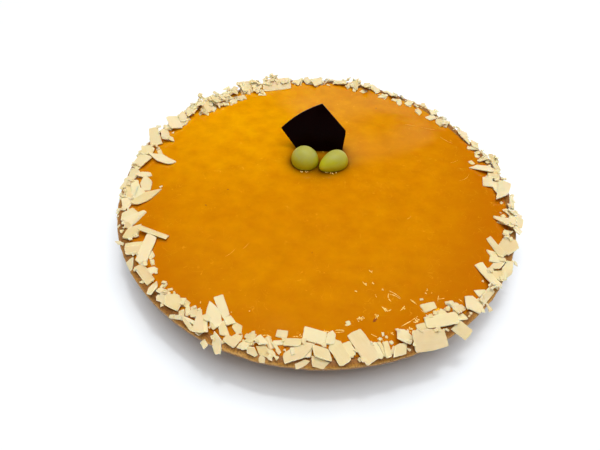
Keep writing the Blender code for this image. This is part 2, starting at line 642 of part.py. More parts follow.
def build():
    for old in list(bpy.data.objects):
        bpy.data.objects.remove(old)
    crust = make_crust()
    filling = make_filling()
    laid = lay_shavings()
    for node, owner in ((filling, "filling"), (crust, "crust")):
        shavings = [make_shaving(*place) for lies_on, *place in laid if lies_on == owner]
        print(len(shavings), "shavings on the", owner)
        apply_boolean(node, "UNION", in_collection("shavings", shavings))
    cutters = [make_plaque("plaque_slot", GAP)]
    for name, sizes in GRAPES.items():
        cutters.append(make_grape(name + "_pocket", *sizes, spare=GAP))
    apply_boolean(filling, "DIFFERENCE", in_collection("pockets", cutters))
    for node in (filling, crust):
        print(node.name, keep_largest_body(node), "scraps and hollows dropped")
    for name, sizes in GRAPES.items():
        grape = make_grape(name, *sizes)
        add_material(grape, (0.42, 0.40, 0.07), 0.35)
    plaque = make_plaque("chocolate_plaque")
    add_material(plaque, (0.012, 0.004, 0.002), 0.3)
    add_material(crust, (0.29, 0.14, 0.045), 0.7)
    add_material(filling, (0.66, 0.22, 0.004), 0.15)
    for made in (crust, filling):
        made.data.shade_smooth()
        made.data.set_sharp_from_angle(angle=math.radians(35))


build()
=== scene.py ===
# %% [markdown]
# This is an apricot vlaai, a flat round fruit tart: a low crust of yeast dough, apricot jelly up to
# its rim, a wreath of white chocolate shavings, two green grapes and a standing plaque of dark
# chocolate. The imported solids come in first, as a fixed frame. They are in metres, with +Z up and
# the front towards -Y, and every piece that is modelled below takes its place from them.

# %% The fixed frame
import math
import random

import bpy
import numpy as np
from mathutils import Matrix, Vector, noise


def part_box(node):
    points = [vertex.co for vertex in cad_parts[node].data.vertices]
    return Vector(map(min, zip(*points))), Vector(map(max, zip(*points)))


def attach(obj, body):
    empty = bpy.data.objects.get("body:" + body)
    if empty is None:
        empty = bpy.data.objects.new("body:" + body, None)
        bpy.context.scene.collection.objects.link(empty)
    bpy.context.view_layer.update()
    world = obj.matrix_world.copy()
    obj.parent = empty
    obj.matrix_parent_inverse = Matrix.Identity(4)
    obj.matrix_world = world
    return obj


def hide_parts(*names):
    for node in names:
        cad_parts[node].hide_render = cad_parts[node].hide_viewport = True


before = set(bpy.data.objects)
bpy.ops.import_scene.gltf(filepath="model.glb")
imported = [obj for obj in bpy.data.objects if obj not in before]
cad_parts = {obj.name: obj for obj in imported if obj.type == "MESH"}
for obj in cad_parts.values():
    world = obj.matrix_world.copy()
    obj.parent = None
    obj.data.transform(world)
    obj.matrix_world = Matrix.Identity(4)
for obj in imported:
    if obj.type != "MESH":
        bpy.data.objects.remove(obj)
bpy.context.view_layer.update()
for node in sorted(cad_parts):
    low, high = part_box(node)
    print(node, "is", [round(side * 1000, 1) for side in high - low], "mm")

# %% [markdown]
# The picture is taken from in front and above, about 30 cm away, with the wide lens of a phone.
# A camera looks along its own -Z, so its matrix is built from three axes: right, up and backwards.
# A Track To constraint could aim it too, but the matrix also takes the small roll of the hand that
# held it, and leaves nothing live in the scene.

# %% Camera
CAMERA_LENS = 27.06
CAMERA_DISTANCE = 0.3035
CAMERA_ELEVATION = math.radians(49.1)
CAMERA_ROLL = math.radians(1.76)
CAMERA_TARGET = Vector((-0.01123, -0.03945, 0.0270))


def aim_camera():
    back = Vector((0, -math.cos(CAMERA_ELEVATION), math.sin(CAMERA_ELEVATION)))
    right = Vector((1, 0, 0))
    up = back.cross(right)
    rolled_right = math.cos(CAMERA_ROLL) * right + math.sin(CAMERA_ROLL) * up
    rolled_up = back.cross(rolled_right)
    data = bpy.data.cameras.new("camera")
    data.lens = CAMERA_LENS
    camera = bpy.data.objects.new("camera", data)
    bpy.context.collection.objects.link(camera)
    camera.matrix_world = Matrix((rolled_right, rolled_up, back)).transposed().to_4x4()
    camera.matrix_world.translation = CAMERA_TARGET + back * CAMERA_DISTANCE
    return camera


bpy.context.scene.camera = aim_camera()
print("camera at", [round(side, 3) for side in bpy.context.scene.camera.matrix_world.translation])

# %% [markdown]
# Two helpers serve every material. Colours are written as sRGB hex, as a paint program shows them,
# and Blender's sockets want linear light, so one function turns them. The other adds a node, sets
# what it is given and links what comes from another node.

# %% Colours and nodes
MM = 0.001


def paint(hex_code):
    """A linear colour from sRGB hex such as d68202."""
    channels = [int(hex_code[start:start + 2], 16) / 255 for start in (0, 2, 4)]
    linear = [c / 12.92 if c <= 0.04045 else ((c + 0.055) / 1.055) ** 2.4 for c in channels]
    return (*linear, 1.0)


def add_node(tree, kind, inputs=None, stops=(), **settings):
    """Adds a node. An input that is a socket is linked, any other is set, and stops fill a ramp."""
    node = tree.nodes.new(kind)
    for name, value in settings.items():
        setattr(node, name, value)
    for name, value in (inputs or {}).items():
        if isinstance(value, bpy.types.NodeSocket):
            tree.links.new(value, node.inputs[name])
        else:
            node.inputs[name].default_value = value
    if stops:
        ramp = node.color_ramp.elements
        ramp.remove(ramp[1])
        ramp[0].position, ramp[0].color = stops[0]
        for position, colour in stops[1:]:
            ramp.new(position).color = colour
    return node


def new_material(name, **constants):
    """A material, its node tree and its shader, with the constant sockets set."""
    material = bpy.data.materials.new(name)
    material.use_nodes = True
    shader = material.node_tree.nodes["Principled BSDF"]
    for socket, value in constants.items():
        shader.inputs[socket.replace("_", " ")].default_value = value
    return material, material.node_tree, shader


MIX_A, MIX_B, MIX_COLOUR = 6, 7, 2
GREY = {level: (level, level, level, 1.0) for level in (0.0, 1.0)}
print("jelly orange in linear light", [round(c, 4) for c in paint("d68202")])

# %% [markdown]
# The floor is plain white and lit until it is nearly blank, as in a cut-out product photograph. The
# tart stands on it with one soft shadow towards the front. A point lamp or a sun would give that
# shadow a hard edge, so the main light is a wide panel above and a little behind. A flat wet glaze
# mirrors whatever is behind the tart, and here it mirrors next to nothing, so that panel stays out
# of reflections. A small bright lamp overhead is what the wet edges and the grapes sparkle with.

# %% Floor and lamps
def add_panel(name, place, aim, size, brightness, mirrored):
    """A rectangular panel light of the given brightness, which is its radiance."""
    data = bpy.data.lights.new(name, "AREA")
    data.shape = "RECTANGLE"
    data.size, data.size_y = size
    data.energy = brightness * math.pi * size[0] * size[1]
    light = bpy.data.objects.new(name, data)
    bpy.context.collection.objects.link(light)
    light.location = place
    light.rotation_euler = (Vector(aim) - Vector(place)).to_track_quat("-Z", "Y").to_euler()
    light.visible_glossy = mirrored


def add_primitive(add, name, **settings):
    """Adds one of Blender's own primitives, with nothing else selected, and names it."""
    bpy.ops.object.select_all(action="DESELECT")
    add(**settings)
    piece = bpy.context.object
    piece.name = piece.data.name = name
    return piece


def add_floor():
    floor = add_primitive(bpy.ops.mesh.primitive_plane_add, "floor", size=6.0)
    material, tree, shader = new_material("white_card", Roughness=0.9, Specular_IOR_Level=0.1)
    place = add_node(tree, "ShaderNodeTexCoord").outputs["Object"]
    fibre = add_node(tree, "ShaderNodeTexNoise", {"Vector": place, "Scale": 1 / (40 * MM)})
    tone = add_node(tree, "ShaderNodeValToRGB", {"Fac": fibre.outputs["Fac"]},
                    stops=((0.3, paint("ebf0f5")), (0.7, paint("eff3f7"))))
    tree.links.new(tone.outputs["Color"], shader.inputs["Base Color"])
    floor.data.materials.append(material)


# Name, place, what it points at, size, brightness, and whether reflections show it
LAMPS = (
    ("main_panel", (0.15, 0.30, 1.9), (0.15, 0.30, 0), (2.2, 2.3), 3.30, False),
    ("front_panel", (-0.2, -2.0, 1.3), (0, 0, 0), (3.0, 1.6), 0.32, False),
    ("sparkle_lamp", (0.05, 0.22, 1.4), (0, 0, 0), (0.24, 0.10), 50.0, True),
)
add_floor()
for lamp in LAMPS:
    add_panel(*lamp)

# %% [markdown]
# What a wet glaze mirrors counts as much as what lights it. The room is dark but for a pale band all
# round, low down, that edges and the sides of the grapes catch, and one dim patch low behind the
# tart, which gives the back of the glaze its haze. More panels could stand for both, but in the
# world shader they are two smooth ramps and cost no time: the band goes by a direction's height, and
# the patch by the cosine between a direction and the patch's middle.

# %% The dim room
HAZE_BEARING = math.radians(81)
HAZE_ELEVATION = math.radians(26)
HAZE_FULL = math.radians(7.5)
HAZE_END = math.radians(13.5)
HAZE_BRIGHTNESS = 0.33
ROOM_BRIGHTNESS = 0.008
LOW_BAND = (math.sin(math.radians(22)), math.sin(math.radians(13)))
LOW_BRIGHTNESS = 0.7


def add_room():
    world = bpy.data.worlds.new("dim_room")
    bpy.context.scene.world = world
    world.use_nodes = True
    tree = world.node_tree
    direction = add_node(tree, "ShaderNodeTexCoord").outputs["Generated"]
    middle = Vector((math.cos(HAZE_BEARING), math.sin(HAZE_BEARING), math.tan(HAZE_ELEVATION)))
    towards = add_node(tree, "ShaderNodeVectorMath", {0: direction, 1: tuple(middle.normalized())},
                       operation="DOT_PRODUCT")
    patch = add_node(tree, "ShaderNodeMapRange", {
        "Value": towards.outputs["Value"], "From Min": math.cos(HAZE_END), "From Max": math.cos(HAZE_FULL),
        "To Min": ROOM_BRIGHTNESS, "To Max": HAZE_BRIGHTNESS}, interpolation_type="SMOOTHSTEP")
    height = add_node(tree, "ShaderNodeSeparateXYZ", {0: direction})
    band = add_node(tree, "ShaderNodeMapRange", {
        "Value": height.outputs["Z"], "From Min": LOW_BAND[0], "From Max": LOW_BAND[1],
        "To Min": 0.0, "To Max": LOW_BRIGHTNESS}, interpolation_type="SMOOTHSTEP")
    light = add_node(tree, "ShaderNodeMath", {0: patch.outputs["Result"], 1: band.outputs["Result"]})
    tree.links.new(light.outputs["Value"], tree.nodes["Background"].inputs["Color"])


add_room()
bpy.context.scene.view_settings.view_transform = "Standard"
print("the haze lies at", round(math.degrees(HAZE_BEARING)), "degrees round from +X")

# %% [markdown]
# The tart was pressed in a tin 28 cm wide, so everything round follows from its rim. These sizes
# and the next few functions are the ones that the solids were made with. The lip isn't a true
# circle: it wanders by a few tenths of a millimetre, and at the back right it was pushed in by 3 mm.

# %% Sizes and unevenness of the crust
RIM_RADIUS = 0.140
BASE_RADIUS = 0.1275
LIP_HEIGHT = 0.027
RIM_WIDTH = 0.0062
CROWN_RISE = 0.0013
WALL_THICKNESS = 0.0058
FLOOR_THICKNESS = 0.005
GAP = 0.0003
FLAT_BEARING = math.radians(28)
FLAT_SPREAD = math.radians(15)
FLAT_DEPTH = 0.0030
CROWN_WAVE = 0.0004
INNER_EDGE = RIM_RADIUS - RIM_WIDTH


def smooth_step(low, high, value):
    share = np.clip((value - low) / (high - low), 0.0, 1.0)
    return share * share * (3 - 2 * share)


def lip_wander(bearing):
    """How far the lip stands out at this bearing, from a true circle."""
    slow = 0.0003 * np.sin(3 * bearing + 3.0) + 0.0002 * np.sin(7 * bearing + 2.1)
    turn = np.arctan2(np.sin(bearing - FLAT_BEARING), np.cos(bearing - FLAT_BEARING))
    return slow - FLAT_DEPTH * np.exp(-((turn / FLAT_SPREAD) ** 2))


def crown_lift(bearing, distance):
    """The crown's rise and fall, nothing at either edge of the rim."""
    middle = RIM_RADIUS - RIM_WIDTH / 2
    across = np.clip(1 - ((distance - middle) / (RIM_WIDTH / 2)) ** 2, 0.0, 1.0)
    return CROWN_WAVE * across * (np.sin(5 * bearing + 1.0) + 0.7 * np.sin(11 * bearing + 0.4))


def warp_share(distance, height):
    """How much of the lip's wander a point takes: none on the underside or at the axis."""
    return (height / LIP_HEIGHT) * (distance / RIM_RADIUS) ** 2


def rim_top():
    """The rim's top in section, from the filling out to the lip: distance and height."""
    return (
        (INNER_EDGE, LIP_HEIGHT - 0.0004),
        (INNER_EDGE + 0.0014, LIP_HEIGHT + CROWN_RISE * 0.85),
        (INNER_EDGE + 0.0030, LIP_HEIGHT + CROWN_RISE),
        (RIM_RADIUS - 0.0010, LIP_HEIGHT + 0.0003),
        (RIM_RADIUS, LIP_HEIGHT - 0.0005),
    )


bearings = np.radians(np.arange(360))
print("the lip stands out by", round(lip_wander(bearings).max() * 1000, 2),
      "mm and in by", round(-lip_wander(bearings).min() * 1000, 2), "mm")

# %% [markdown]
# A pressed crust has one section all the way round. It could be spun from a profile, but raising it
# the way it stands shows how extrude works: a disc is added, and its face is extruded upwards and
# resized again and again, up the wall, over the rim and down the inside. The face is always the
# top of a closed solid, and at the end its corners merge in one pole. Corners of the profile are
# cut first, because dough has no sharp edges.

# %% Turning a solid from its section
def rounded(section, passes=2):
    """Cuts every corner of a section, and keeps its two ends."""
    points = [Vector(point) for point in section]
    for _ in range(passes):
        cut = [points[0]]
        for start, end in zip(points, points[1:]):
            cut += [start.lerp(end, 0.25), start.lerp(end, 0.75)]
        points = cut + [points[-1]]
    return points


def in_steps(points, longest):
    """Splits a section's longer stretches, so that the mesh can take fine relief everywhere."""
    split = [points[0]]
    for start, end in zip(points, points[1:]):
        count = max(1, math.ceil((end - start).length / longest))
        split += [start.lerp(end, (step + 1) / count) for step in range(count)]
    return split


def face_outwards():
    """Turns the faces of the piece in edit mode outwards, and leaves edit mode."""
    bpy.ops.mesh.select_all(action="SELECT")
    bpy.ops.mesh.normals_make_consistent(inside=False)
    bpy.ops.object.mode_set(mode="OBJECT")


def raise_solid(name, section, sectors):
    """Extrudes a disc along a section of (distance, height) points, and closes it in a pole."""
    radius, height = section[0]
    piece = add_primitive(bpy.ops.mesh.primitive_circle_add, name, vertices=sectors, radius=radius,
                          fill_type="NGON", location=(0, 0, height))
    bpy.ops.object.mode_set(mode="EDIT")
    bpy.ops.mesh.select_all(action="SELECT")
    for next_radius, next_height in section[1:]:
        share = next_radius / radius
        bpy.ops.mesh.extrude_region_move(
            TRANSFORM_OT_translate={"value": (0, 0, next_height - height)})
        bpy.ops.transform.resize(value=(share, share, 1), center_override=(0, 0, next_height))
        radius, height = next_radius, next_height
    bpy.ops.mesh.merge(type="CENTER")
    face_outwards()
    bpy.ops.object.transform_apply(location=True, rotation=True, scale=True)
    return piece


print("three points become", len(rounded(((0, 0), (1, 0), (1, 1)))), "when their corner is cut twice")

# %% [markdown]
# The crust's section starts at the edge of its flat underside, goes up the flared wall, over the
# rounded rim and down the inside, and ends on the floor, under the filling. Rings a millimetre apart
# and a sector for each half degree give the mesh enough points for baked relief.

# %% The crust
CRUST_SECTORS = 720
CRUST_STEP = 0.0011
FLOOR_EDGE = BASE_RADIUS - WALL_THICKNESS
crust_section = [
    (BASE_RADIUS - 0.0020, 0),
    (BASE_RADIUS - 0.0005, 0.0006),
    (BASE_RADIUS + 0.0004, 0.0022),
    (BASE_RADIUS + 0.0052, 0.0120),
    (RIM_RADIUS - 0.0022, LIP_HEIGHT - 0.0050),
    (RIM_RADIUS - 0.0002, LIP_HEIGHT - 0.0026),
    *reversed(rim_top()),
    (INNER_EDGE - 0.0010, LIP_HEIGHT - 0.0030),
]
crust_section = in_steps(rounded(crust_section), CRUST_STEP) + [
    (FLOOR_EDGE + 0.0010, FLOOR_THICKNESS + 0.0030),
    (FLOOR_EDGE - 0.0020, FLOOR_THICKNESS),
    (0.060, FLOOR_THICKNESS),
    (0.010, FLOOR_THICKNESS),
]
crust = raise_solid("crust_baked", crust_section, CRUST_SECTORS)
print("crust", len(crust.data.polygons), "faces in", len(crust_section), "rings")

# %% [markdown]
# Baked yeast dough isn't smooth. Its skin rises in low blisters a few millimetres wide, and shows
# fine crumbs where the tin touched it. A Displace modifier could raise both, but in code they can be
# held to where the crust shows. The relief is real geometry, moved along each point's normal, on the
# rim and the wall and none on the flat underside.

# %% The crust's baked relief
BLISTER = 0.00030
BLISTER_SIZE = 0.0060
CRUMB = 0.00012
CRUMB_SIZE = 0.0016
RELIEF_FADE = 0.004
CROWN_FROM = LIP_HEIGHT - 0.001
WALL_FROM = BASE_RADIUS - 0.001


def read_vectors(items, field):
    """Three numbers for each item of a mesh, as rows."""
    values = np.zeros(len(items) * 3, np.float32)
    items.foreach_get(field, values)
    return values.reshape(-1, 3).astype(float)


def read_points(piece):
    return read_vectors(piece.data.vertices, "co")


def write_points(piece, places):
    piece.data.vertices.foreach_set("co", places.astype(np.float32).ravel())
    piece.data.update()


def bumps(places, size, octaves=3):
    """Smooth noise of about -1 to 1 at each place, with bumps of the given size in metres."""
    return np.array([noise.fractal(Vector(place) / size, 1.0, 2.0, octaves) for place in places])


def polar(x, y):
    """The bearing of each place from the middle, and its distance."""
    return np.arctan2(y, x), np.hypot(x, y)


def uneven(places):
    """Gives turned points the lip's wander and the crown's wave, as the solids have them."""
    x, y, height = places.T
    bearing, distance = polar(x, y)
    out = distance + lip_wander(bearing) * warp_share(distance, height)
    height = height + np.where(height > CROWN_FROM, crown_lift(bearing, distance), 0.0)
    return np.column_stack((out * np.cos(bearing), out * np.sin(bearing), height))


def bake_relief(piece):
    places = uneven(read_points(piece))
    write_points(piece, places)
    x, y, height = places.T
    _, distance = polar(x, y)
    on_rim = smooth_step(INNER_EDGE - RELIEF_FADE, INNER_EDGE, distance)
    on_wall = distance > WALL_FROM
    amount = smooth_step(0.0, RELIEF_FADE, height) * np.maximum(on_rim, on_wall)
    relief = amount * (BLISTER * bumps(places, BLISTER_SIZE) + CRUMB * bumps(places, CRUMB_SIZE, 2))
    normals = read_vectors(piece.data.vertex_normals, "vector")
    write_points(piece, places + normals * relief[:, None])
    return np.abs(relief).max()


deepest = bake_relief(crust)
print("the crust's relief is up to", round(deepest * 1000, 2), "mm")

# %% [markdown]
# The shavings are broken off a block of white chocolate with a plane: flat plates just under a
# millimetre thick, up to 24 mm long, with broken edges. They lie where they fell, each on the glaze,
# on the rim or on other shavings. A particle system or a simulation could scatter them, but these
# have to lie exactly where the solid ones do, so the layout repeats the one that the solids were
# made with, draw for draw. It keeps a map of how high each place is, and lays each plate as low as it
# can lie. First come the outlines, and the shavings that have a place of their own.

# %% Shavings with a place of their own
# Outlines, counter-clockwise, as shares of the length and the width
SHAPES = {
    "plate": ((-0.50, -0.46), (0.46, -0.50), (0.50, 0.44), (-0.42, 0.50)),
    "wedge": ((-0.50, -0.10), (0.42, -0.50), (0.50, 0.46), (-0.46, 0.12)),
    "lozenge": ((-0.50, 0.04), (-0.06, -0.50), (0.50, -0.26), (0.42, 0.34), (-0.04, 0.50)),
    "sliver": ((-0.50, -0.34), (0.50, -0.50), (0.48, 0.46), (-0.46, 0.40)),
    "kite": ((-0.50, 0.06), (0.04, -0.50), (0.50, -0.04), (-0.02, 0.50)),
    "blade": ((-0.50, -0.42), (0.50, -0.50), (0.24, 0.30), (-0.30, 0.50)),
    "spade": ((-0.50, 0.05), (-0.22, -0.48), (0.50, -0.50), (0.46, 0.44), (-0.26, 0.50)),
}

# Bearing, distance from the middle, length, width, heading, shape, lower ones first, in
# millimetres and degrees. Bearings run counter-clockwise from +X, a heading runs so from straight
# outwards, and a width below nothing mirrors the shape. These rows are measured and not designed:
# each was fitted outside this script to the corners of one shaving, read off the photo by eye.
LARGE_SHAVINGS = (
    (160.3, 136.1, 18.4, 9.5, 130, "sliver"), (167.2, 133.9, 10.5, 11.4, 173, "lozenge"),
    (166.5, 124.2, 8.2, -3.3, 129, "plate"), (158.2, 130.5, 12.4, -6.5, 132, "sliver"),
    (158.8, 124.4, 8.4, 4.8, 165, "kite"), (151, 133.8, 16.5, -10.1, 142, "plate"),
    (146.7, 133.7, 14.4, 7.5, 136, "lozenge"), (142.8, 133, 14.1, -5, 115, "lozenge"),
    (136.2, 130, 13.6, -7.3, 322, "spade"), (126, 124.6, 8.6, -6.8, 183, "lozenge"),
    (172.3, 132.4, 12.4, 9.8, 256, "sliver"), (170, 119.5, 24, -9, 166, "lozenge"),
    (178.3, 133.4, 8.7, -12.6, 6, "lozenge"), (182.3, 136.9, 14, 5, 76, "blade"),
    (178.9, 126.7, 11.9, 4.6, 202, "lozenge"), (182.4, 122.9, 15.8, -8.9, 104, "lozenge"),
    (187.8, 132.6, 20.1, 5.4, 280, "spade"), (185.9, 128.8, 19.6, 6.1, 287, "spade"),
    (188.3, 125.3, 18.1, -7.2, 263, "blade"), (191, 134.1, 11.1, -5.6, 280, "spade"),
    (189, 120.6, 24.2, 8.2, 38, "lozenge"), (195.8, 132.3, 12, -7.1, 216, "spade"),
    (197.4, 128.1, 16.6, -9.3, 33, "wedge"), (200, 133.4, 7, -4.5, 122, "lozenge"),
    (203, 130.6, 16.1, 8.1, 46, "lozenge"), (205.2, 138.8, 8.8, 2.4, 126, "lozenge"),
    (208.3, 131.2, 12.5, 4.6, 173, "sliver"), (210.1, 134, 10.4, 5.5, 351, "plate"),
    (213.7, 125.1, 7.1, 5.2, 61, "kite"), (211.1, 125.9, 22.7, 7.2, 52, "plate"),
    (206.3, 118.3, 20.8, -5.3, 316, "sliver"), (214, 137.5, 7.4, -5.4, 256, "wedge"),
    (218.5, 128.9, 7.1, 5.6, 129, "lozenge"), (219, 134, 16.3, -6.5, 272, "plate"),
    (227.6, 138.1, 5, 2.2, 249, "blade"), (227, 132.2, 7.4, -4.5, 291, "spade"),
    (224.6, 135.7, 13.3, -5.3, 44, "lozenge"), (228.9, 135.1, 5.9, -5, 111, "sliver"),
    (232.6, 128.1, 3.2, -4.1, 309, "spade"), (231.7, 133, 11.2, -10.4, 247, "lozenge"),
    (233.8, 128.2, 4.5, 3.2, 194, "plate"), (235.4, 130.6, 8.8, 2.7, 38, "lozenge"),
    (235.6, 135.1, 5.4, 3.1, 224, "spade"), (234.6, 137.8, 7.6, 2.4, 110, "sliver"),
    (238, 134.5, 7.3, -2.1, 282, "plate"), (238.4, 137.2, 7.9, 2.6, 79, "sliver"),
    (237.4, 130.4, 5.8, -4.5, 20, "spade"), (241.9, 132.2, 13.3, 2.7, 225, "sliver"),
    (240.3, 133.3, 17.3, 7.5, 38, "wedge"), (244.2, 139.3, 4.5, 3.1, 245, "plate"),
    (242.3, 117.7, 15.7, -6.1, 233, "sliver"), (241.8, 124.7, 18.9, 8.7, 52, "lozenge"),
    (243.7, 131.9, 5.7, 2.2, 65, "spade"), (246.2, 130.1, 9.4, 5.3, 232, "blade"),
    (249.4, 125.5, 5.6, 8.3, 326, "lozenge"), (246.5, 124.1, 5.5, -5.9, 53, "sliver"),
    (250.3, 131.1, 6.6, -4.8, 104, "lozenge"), (246.8, 136.8, 12.1, -5.4, 38, "lozenge"),
    (249.6, 135.2, 8.1, -5.9, 81, "sliver"), (253.1, 134.8, 6, 6.1, 236, "spade"),
    (255.2, 135.2, 4.5, 6.5, 356, "lozenge"), (253.7, 128.8, 4.6, -6.5, 267, "plate"),
    (258.4, 128.6, 7.6, -3.2, 36, "sliver"), (257.6, 133.9, 9.3, -5.4, 70, "lozenge"),
    (256.2, 129.8, 8.7, -5.6, 44, "blade"), (259.6, 132.8, 5.3, -3.5, 216, "blade"),
    (257.9, 139.1, 4.7, 3.7, 230, "lozenge"), (259.6, 137.5, 3.7, 2.7, 233, "lozenge"),
    (260.5, 127.4, 5.8, -3.2, 103, "sliver"), (260.3, 130.5, 7.4, 1.9, 48, "plate"),
    (260.8, 122.1, 6.5, 5.6, 91, "sliver"), (266.8, 137.4, 8.4, -2.8, 293, "spade"),
    (267.8, 130.1, 9.6, -5.2, 177, "sliver"), (265.8, 131.9, 19.9, -9.1, 304, "lozenge"),
    (264, 126.4, 10.2, 5, 278, "plate"), (264.3, 132, 4.7, -2.7, 194, "sliver"),
    (270.5, 137.3, 10.5, -5.3, 75, "blade"), (271, 131.8, 14.3, -10.2, 225, "kite"),
    (269.3, 121.2, 13.6, -8.7, 76, "plate"), (277.7, 130.3, 10.2, 5.9, 197, "spade"),
    (275.1, 130.6, 17.5, 8, 22, "spade"), (273.6, 122.3, 9.3, 4.9, 346, "spade"),
    (284.2, 132.7, 9.4, -4.3, 185, "sliver"), (285.4, 133, 9.7, 2.6, 6, "sliver"),
    (281.3, 129.5, 21.7, -9.7, 195, "plate"), (286.4, 134.2, 10.7, -3.5, 167, "plate"),
    (289.1, 135.7, 14.6, 6.8, 125, "kite"), (291.6, 130, 9.7, 11.6, 101, "lozenge"),
    (305.7, 140.5, 14, 9.9, 66, "kite"), (297, 136.8, 20.5, -11.4, 256, "sliver"),
    (298.2, 128.5, 9.8, 5, 76, "sliver"), (307.5, 135.4, 6.2, 4.4, 79, "sliver"),
    (304.6, 127.4, 6, -5.3, 107, "sliver"), (302.7, 130.9, 19.8, 7.9, 247, "plate"),
    (308.7, 130.6, 9.7, -5, 269, "sliver"), (303.1, 119.6, 9.2, 6, 259, "sliver"),
    (308.9, 125.9, 5.1, 3.9, 140, "lozenge"), (312.7, 134.3, 10.4, 13.1, 79, "lozenge"),
    (317.8, 132.7, 6.5, -5.8, 241, "wedge"), (317.4, 137, 14.9, 4.1, 91, "plate"),
    (325.9, 135.7, 9.3, 6.9, 227, "sliver"), (328.6, 139, 18.2, 6.1, 90, "lozenge"),
    (323.3, 131.6, 21.6, 5.9, 145, "sliver"), (332.3, 127.5, 9.3, -5.2, 340, "kite"),
    (330.4, 131, 8, -5.9, 187, "sliver"), (327.9, 133.3, 11.9, -6, 230, "kite"),
    (336, 135.3, 14.7, -12.2, 96, "lozenge"), (334.9, 128.3, 17.1, -4.4, 314, "sliver"),
    (343.2, 139.8, 13.6, 7.4, 274, "kite"), (341.6, 133.3, 6.4, -4, 292, "kite"),
    (347.4, 138.2, 7.7, 7.2, 351, "sliver"), (346.8, 143, 8.4, -5.1, 83, "sliver"),
    (350.1, 139.5, 11, -6, 344, "spade"), (345.7, 131.1, 14.9, -10.5, 328, "wedge"),
    (354.9, 139.1, 14.9, -3.9, 261, "sliver"), (0.6, 131.9, 13.9, -7.8, 86, "sliver"),
    (358.3, 136.2, 21.9, 8.8, 254, "blade"), (6.5, 134, 12.5, -8, 253, "spade"),
    (3, 126.2, 7, 10.7, 349, "sliver"), (9.8, 127.4, 17.4, -8.4, 142, "blade"),
    (13.6, 131.7, 6.8, -3.6, 352, "sliver"), (11.5, 137.5, 13.3, -5.9, 279, "sliver"),
    (13.5, 122.9, 4.4, -3.7, 108, "sliver"), (28.6, 137.6, 8.4, -12.5, 317, "sliver"),
    (24.9, 133.2, 11.7, 3.9, 280, "blade"), (20.9, 134.6, 13.6, 5, 88, "kite"),
    (37.1, 129.8, 9.6, 4.9, 259, "spade"), (41, 129.2, 10.1, -7, 301, "kite"),
    (42.2, 134.8, 10.3, -7, 16, "kite"), (46.6, 128.1, 9.9, -6.4, 38, "kite"),
    (52.1, 132.9, 8.4, 6.7, 148, "lozenge"), (55.5, 128.9, 9.1, 4.5, 39, "spade"),
    (60.8, 136.2, 14.1, -6.9, 230, "wedge"), (67.2, 135.7, 11.8, 5.3, 235, "sliver"),
    (70.4, 135.4, 15.6, -6.3, 9, "sliver"), (74.8, 133.9, 13.6, -6.5, 185, "blade"),
    (80.7, 134.9, 11.5, 5.9, 276, "sliver"), (89.9, 132.6, 10.8, -8.7, 123, "sliver"),
    (96.8, 134, 9.4, 5.3, 135, "wedge"),
)

# Plates that lean on the heap at the back left: bearing and distance of the lower edge, length
# along the rim, height of the face, lean back from upright
LEANING_SHAVINGS = (
    (106, 0.1255, 0.027, 0.0115, 60),
    (118, 0.1300, 0.012, 0.0115, 58),
)

print(len(LARGE_SHAVINGS) + len(LEANING_SHAVINGS), "shavings have their own place")

# %% [markdown]
# The other shavings only have to look scattered, so they are drawn at random, bed by bed round the
# rim, mostly under the large ones. What most of them lie on is the filling's top, a low dome with
# swells so soft that only reflections show them.

# %% Random beds and the filling's top
# The rest: from bearing, to bearing, how many, nearest, reach, longest, and how often a place
# under one of the others is looked for
SHAVING_BEDS = (
    (15, 66, 12, 0.1290, 0.1390, 0.009, 3),
    (66, 100, 21, 0.1300, 0.1415, 0.009, 1),
    (100, 118, 12, 0.1290, 0.1425, 0.010, 1),
    (118, 150, 38, 0.1280, 0.1425, 0.009, 1),
    (150, 200, 16, 0.1280, 0.1415, 0.009, 3),
    (200, 262, 12, 0.1280, 0.1405, 0.009, 4),
    (262, 312, 8, 0.1260, 0.1405, 0.009, 4),
    (312, 375, 10, 0.1290, 0.1410, 0.010, 4),
)
FILLED_OVER = 0.0002
DOME_RISE = 0.0012
SWELL = 0.00035
SWELL_FADE = 0.030


def filling_height(x, y):
    """The filling's top, as if no shaving lay on it: a low dome with soft swells."""
    distance = np.hypot(x, y)
    dome = DOME_RISE * (1 - np.clip(distance / INNER_EDGE, 0.0, 1.0) ** 4)
    swell = np.sin(58 * x + 31 * y + 0.6) + np.sin(-37 * x + 74 * y + 2.0) + 0.6 * np.sin(112 * x - 45 * y)
    inside = 1 - smooth_step(INNER_EDGE - SWELL_FADE, INNER_EDGE - RELIEF_FADE, distance)
    return LIP_HEIGHT + FILLED_OVER + dome + SWELL * swell * inside


print(sum(bed[2] for bed in SHAVING_BEDS), "more are drawn in", len(SHAVING_BEDS), "beds")

# %% [markdown]
# The map holds two heights for every half millimetre: how low a shaving of the filling may lie,
# and how low one of the crust may. A plate sinks a little into its own side and stays clear of the
# other, so that no plate is shared by both. Numpy keeps this quick, because each plate covers
# thousands of cells.

# %% The laying map
CELL = 0.0005
HALF_MAP = 0.160
SINK = 0.0004
CLEAR = 0.0005
EDGE_STRIP = 0.0016
SAMPLE = 0.0003


def flat_map():
    """The middles of the map's cells, x and y."""
    side = np.arange(-HALF_MAP, HALF_MAP, CELL) + CELL / 2
    return np.meshgrid(side, side, indexing="ij")


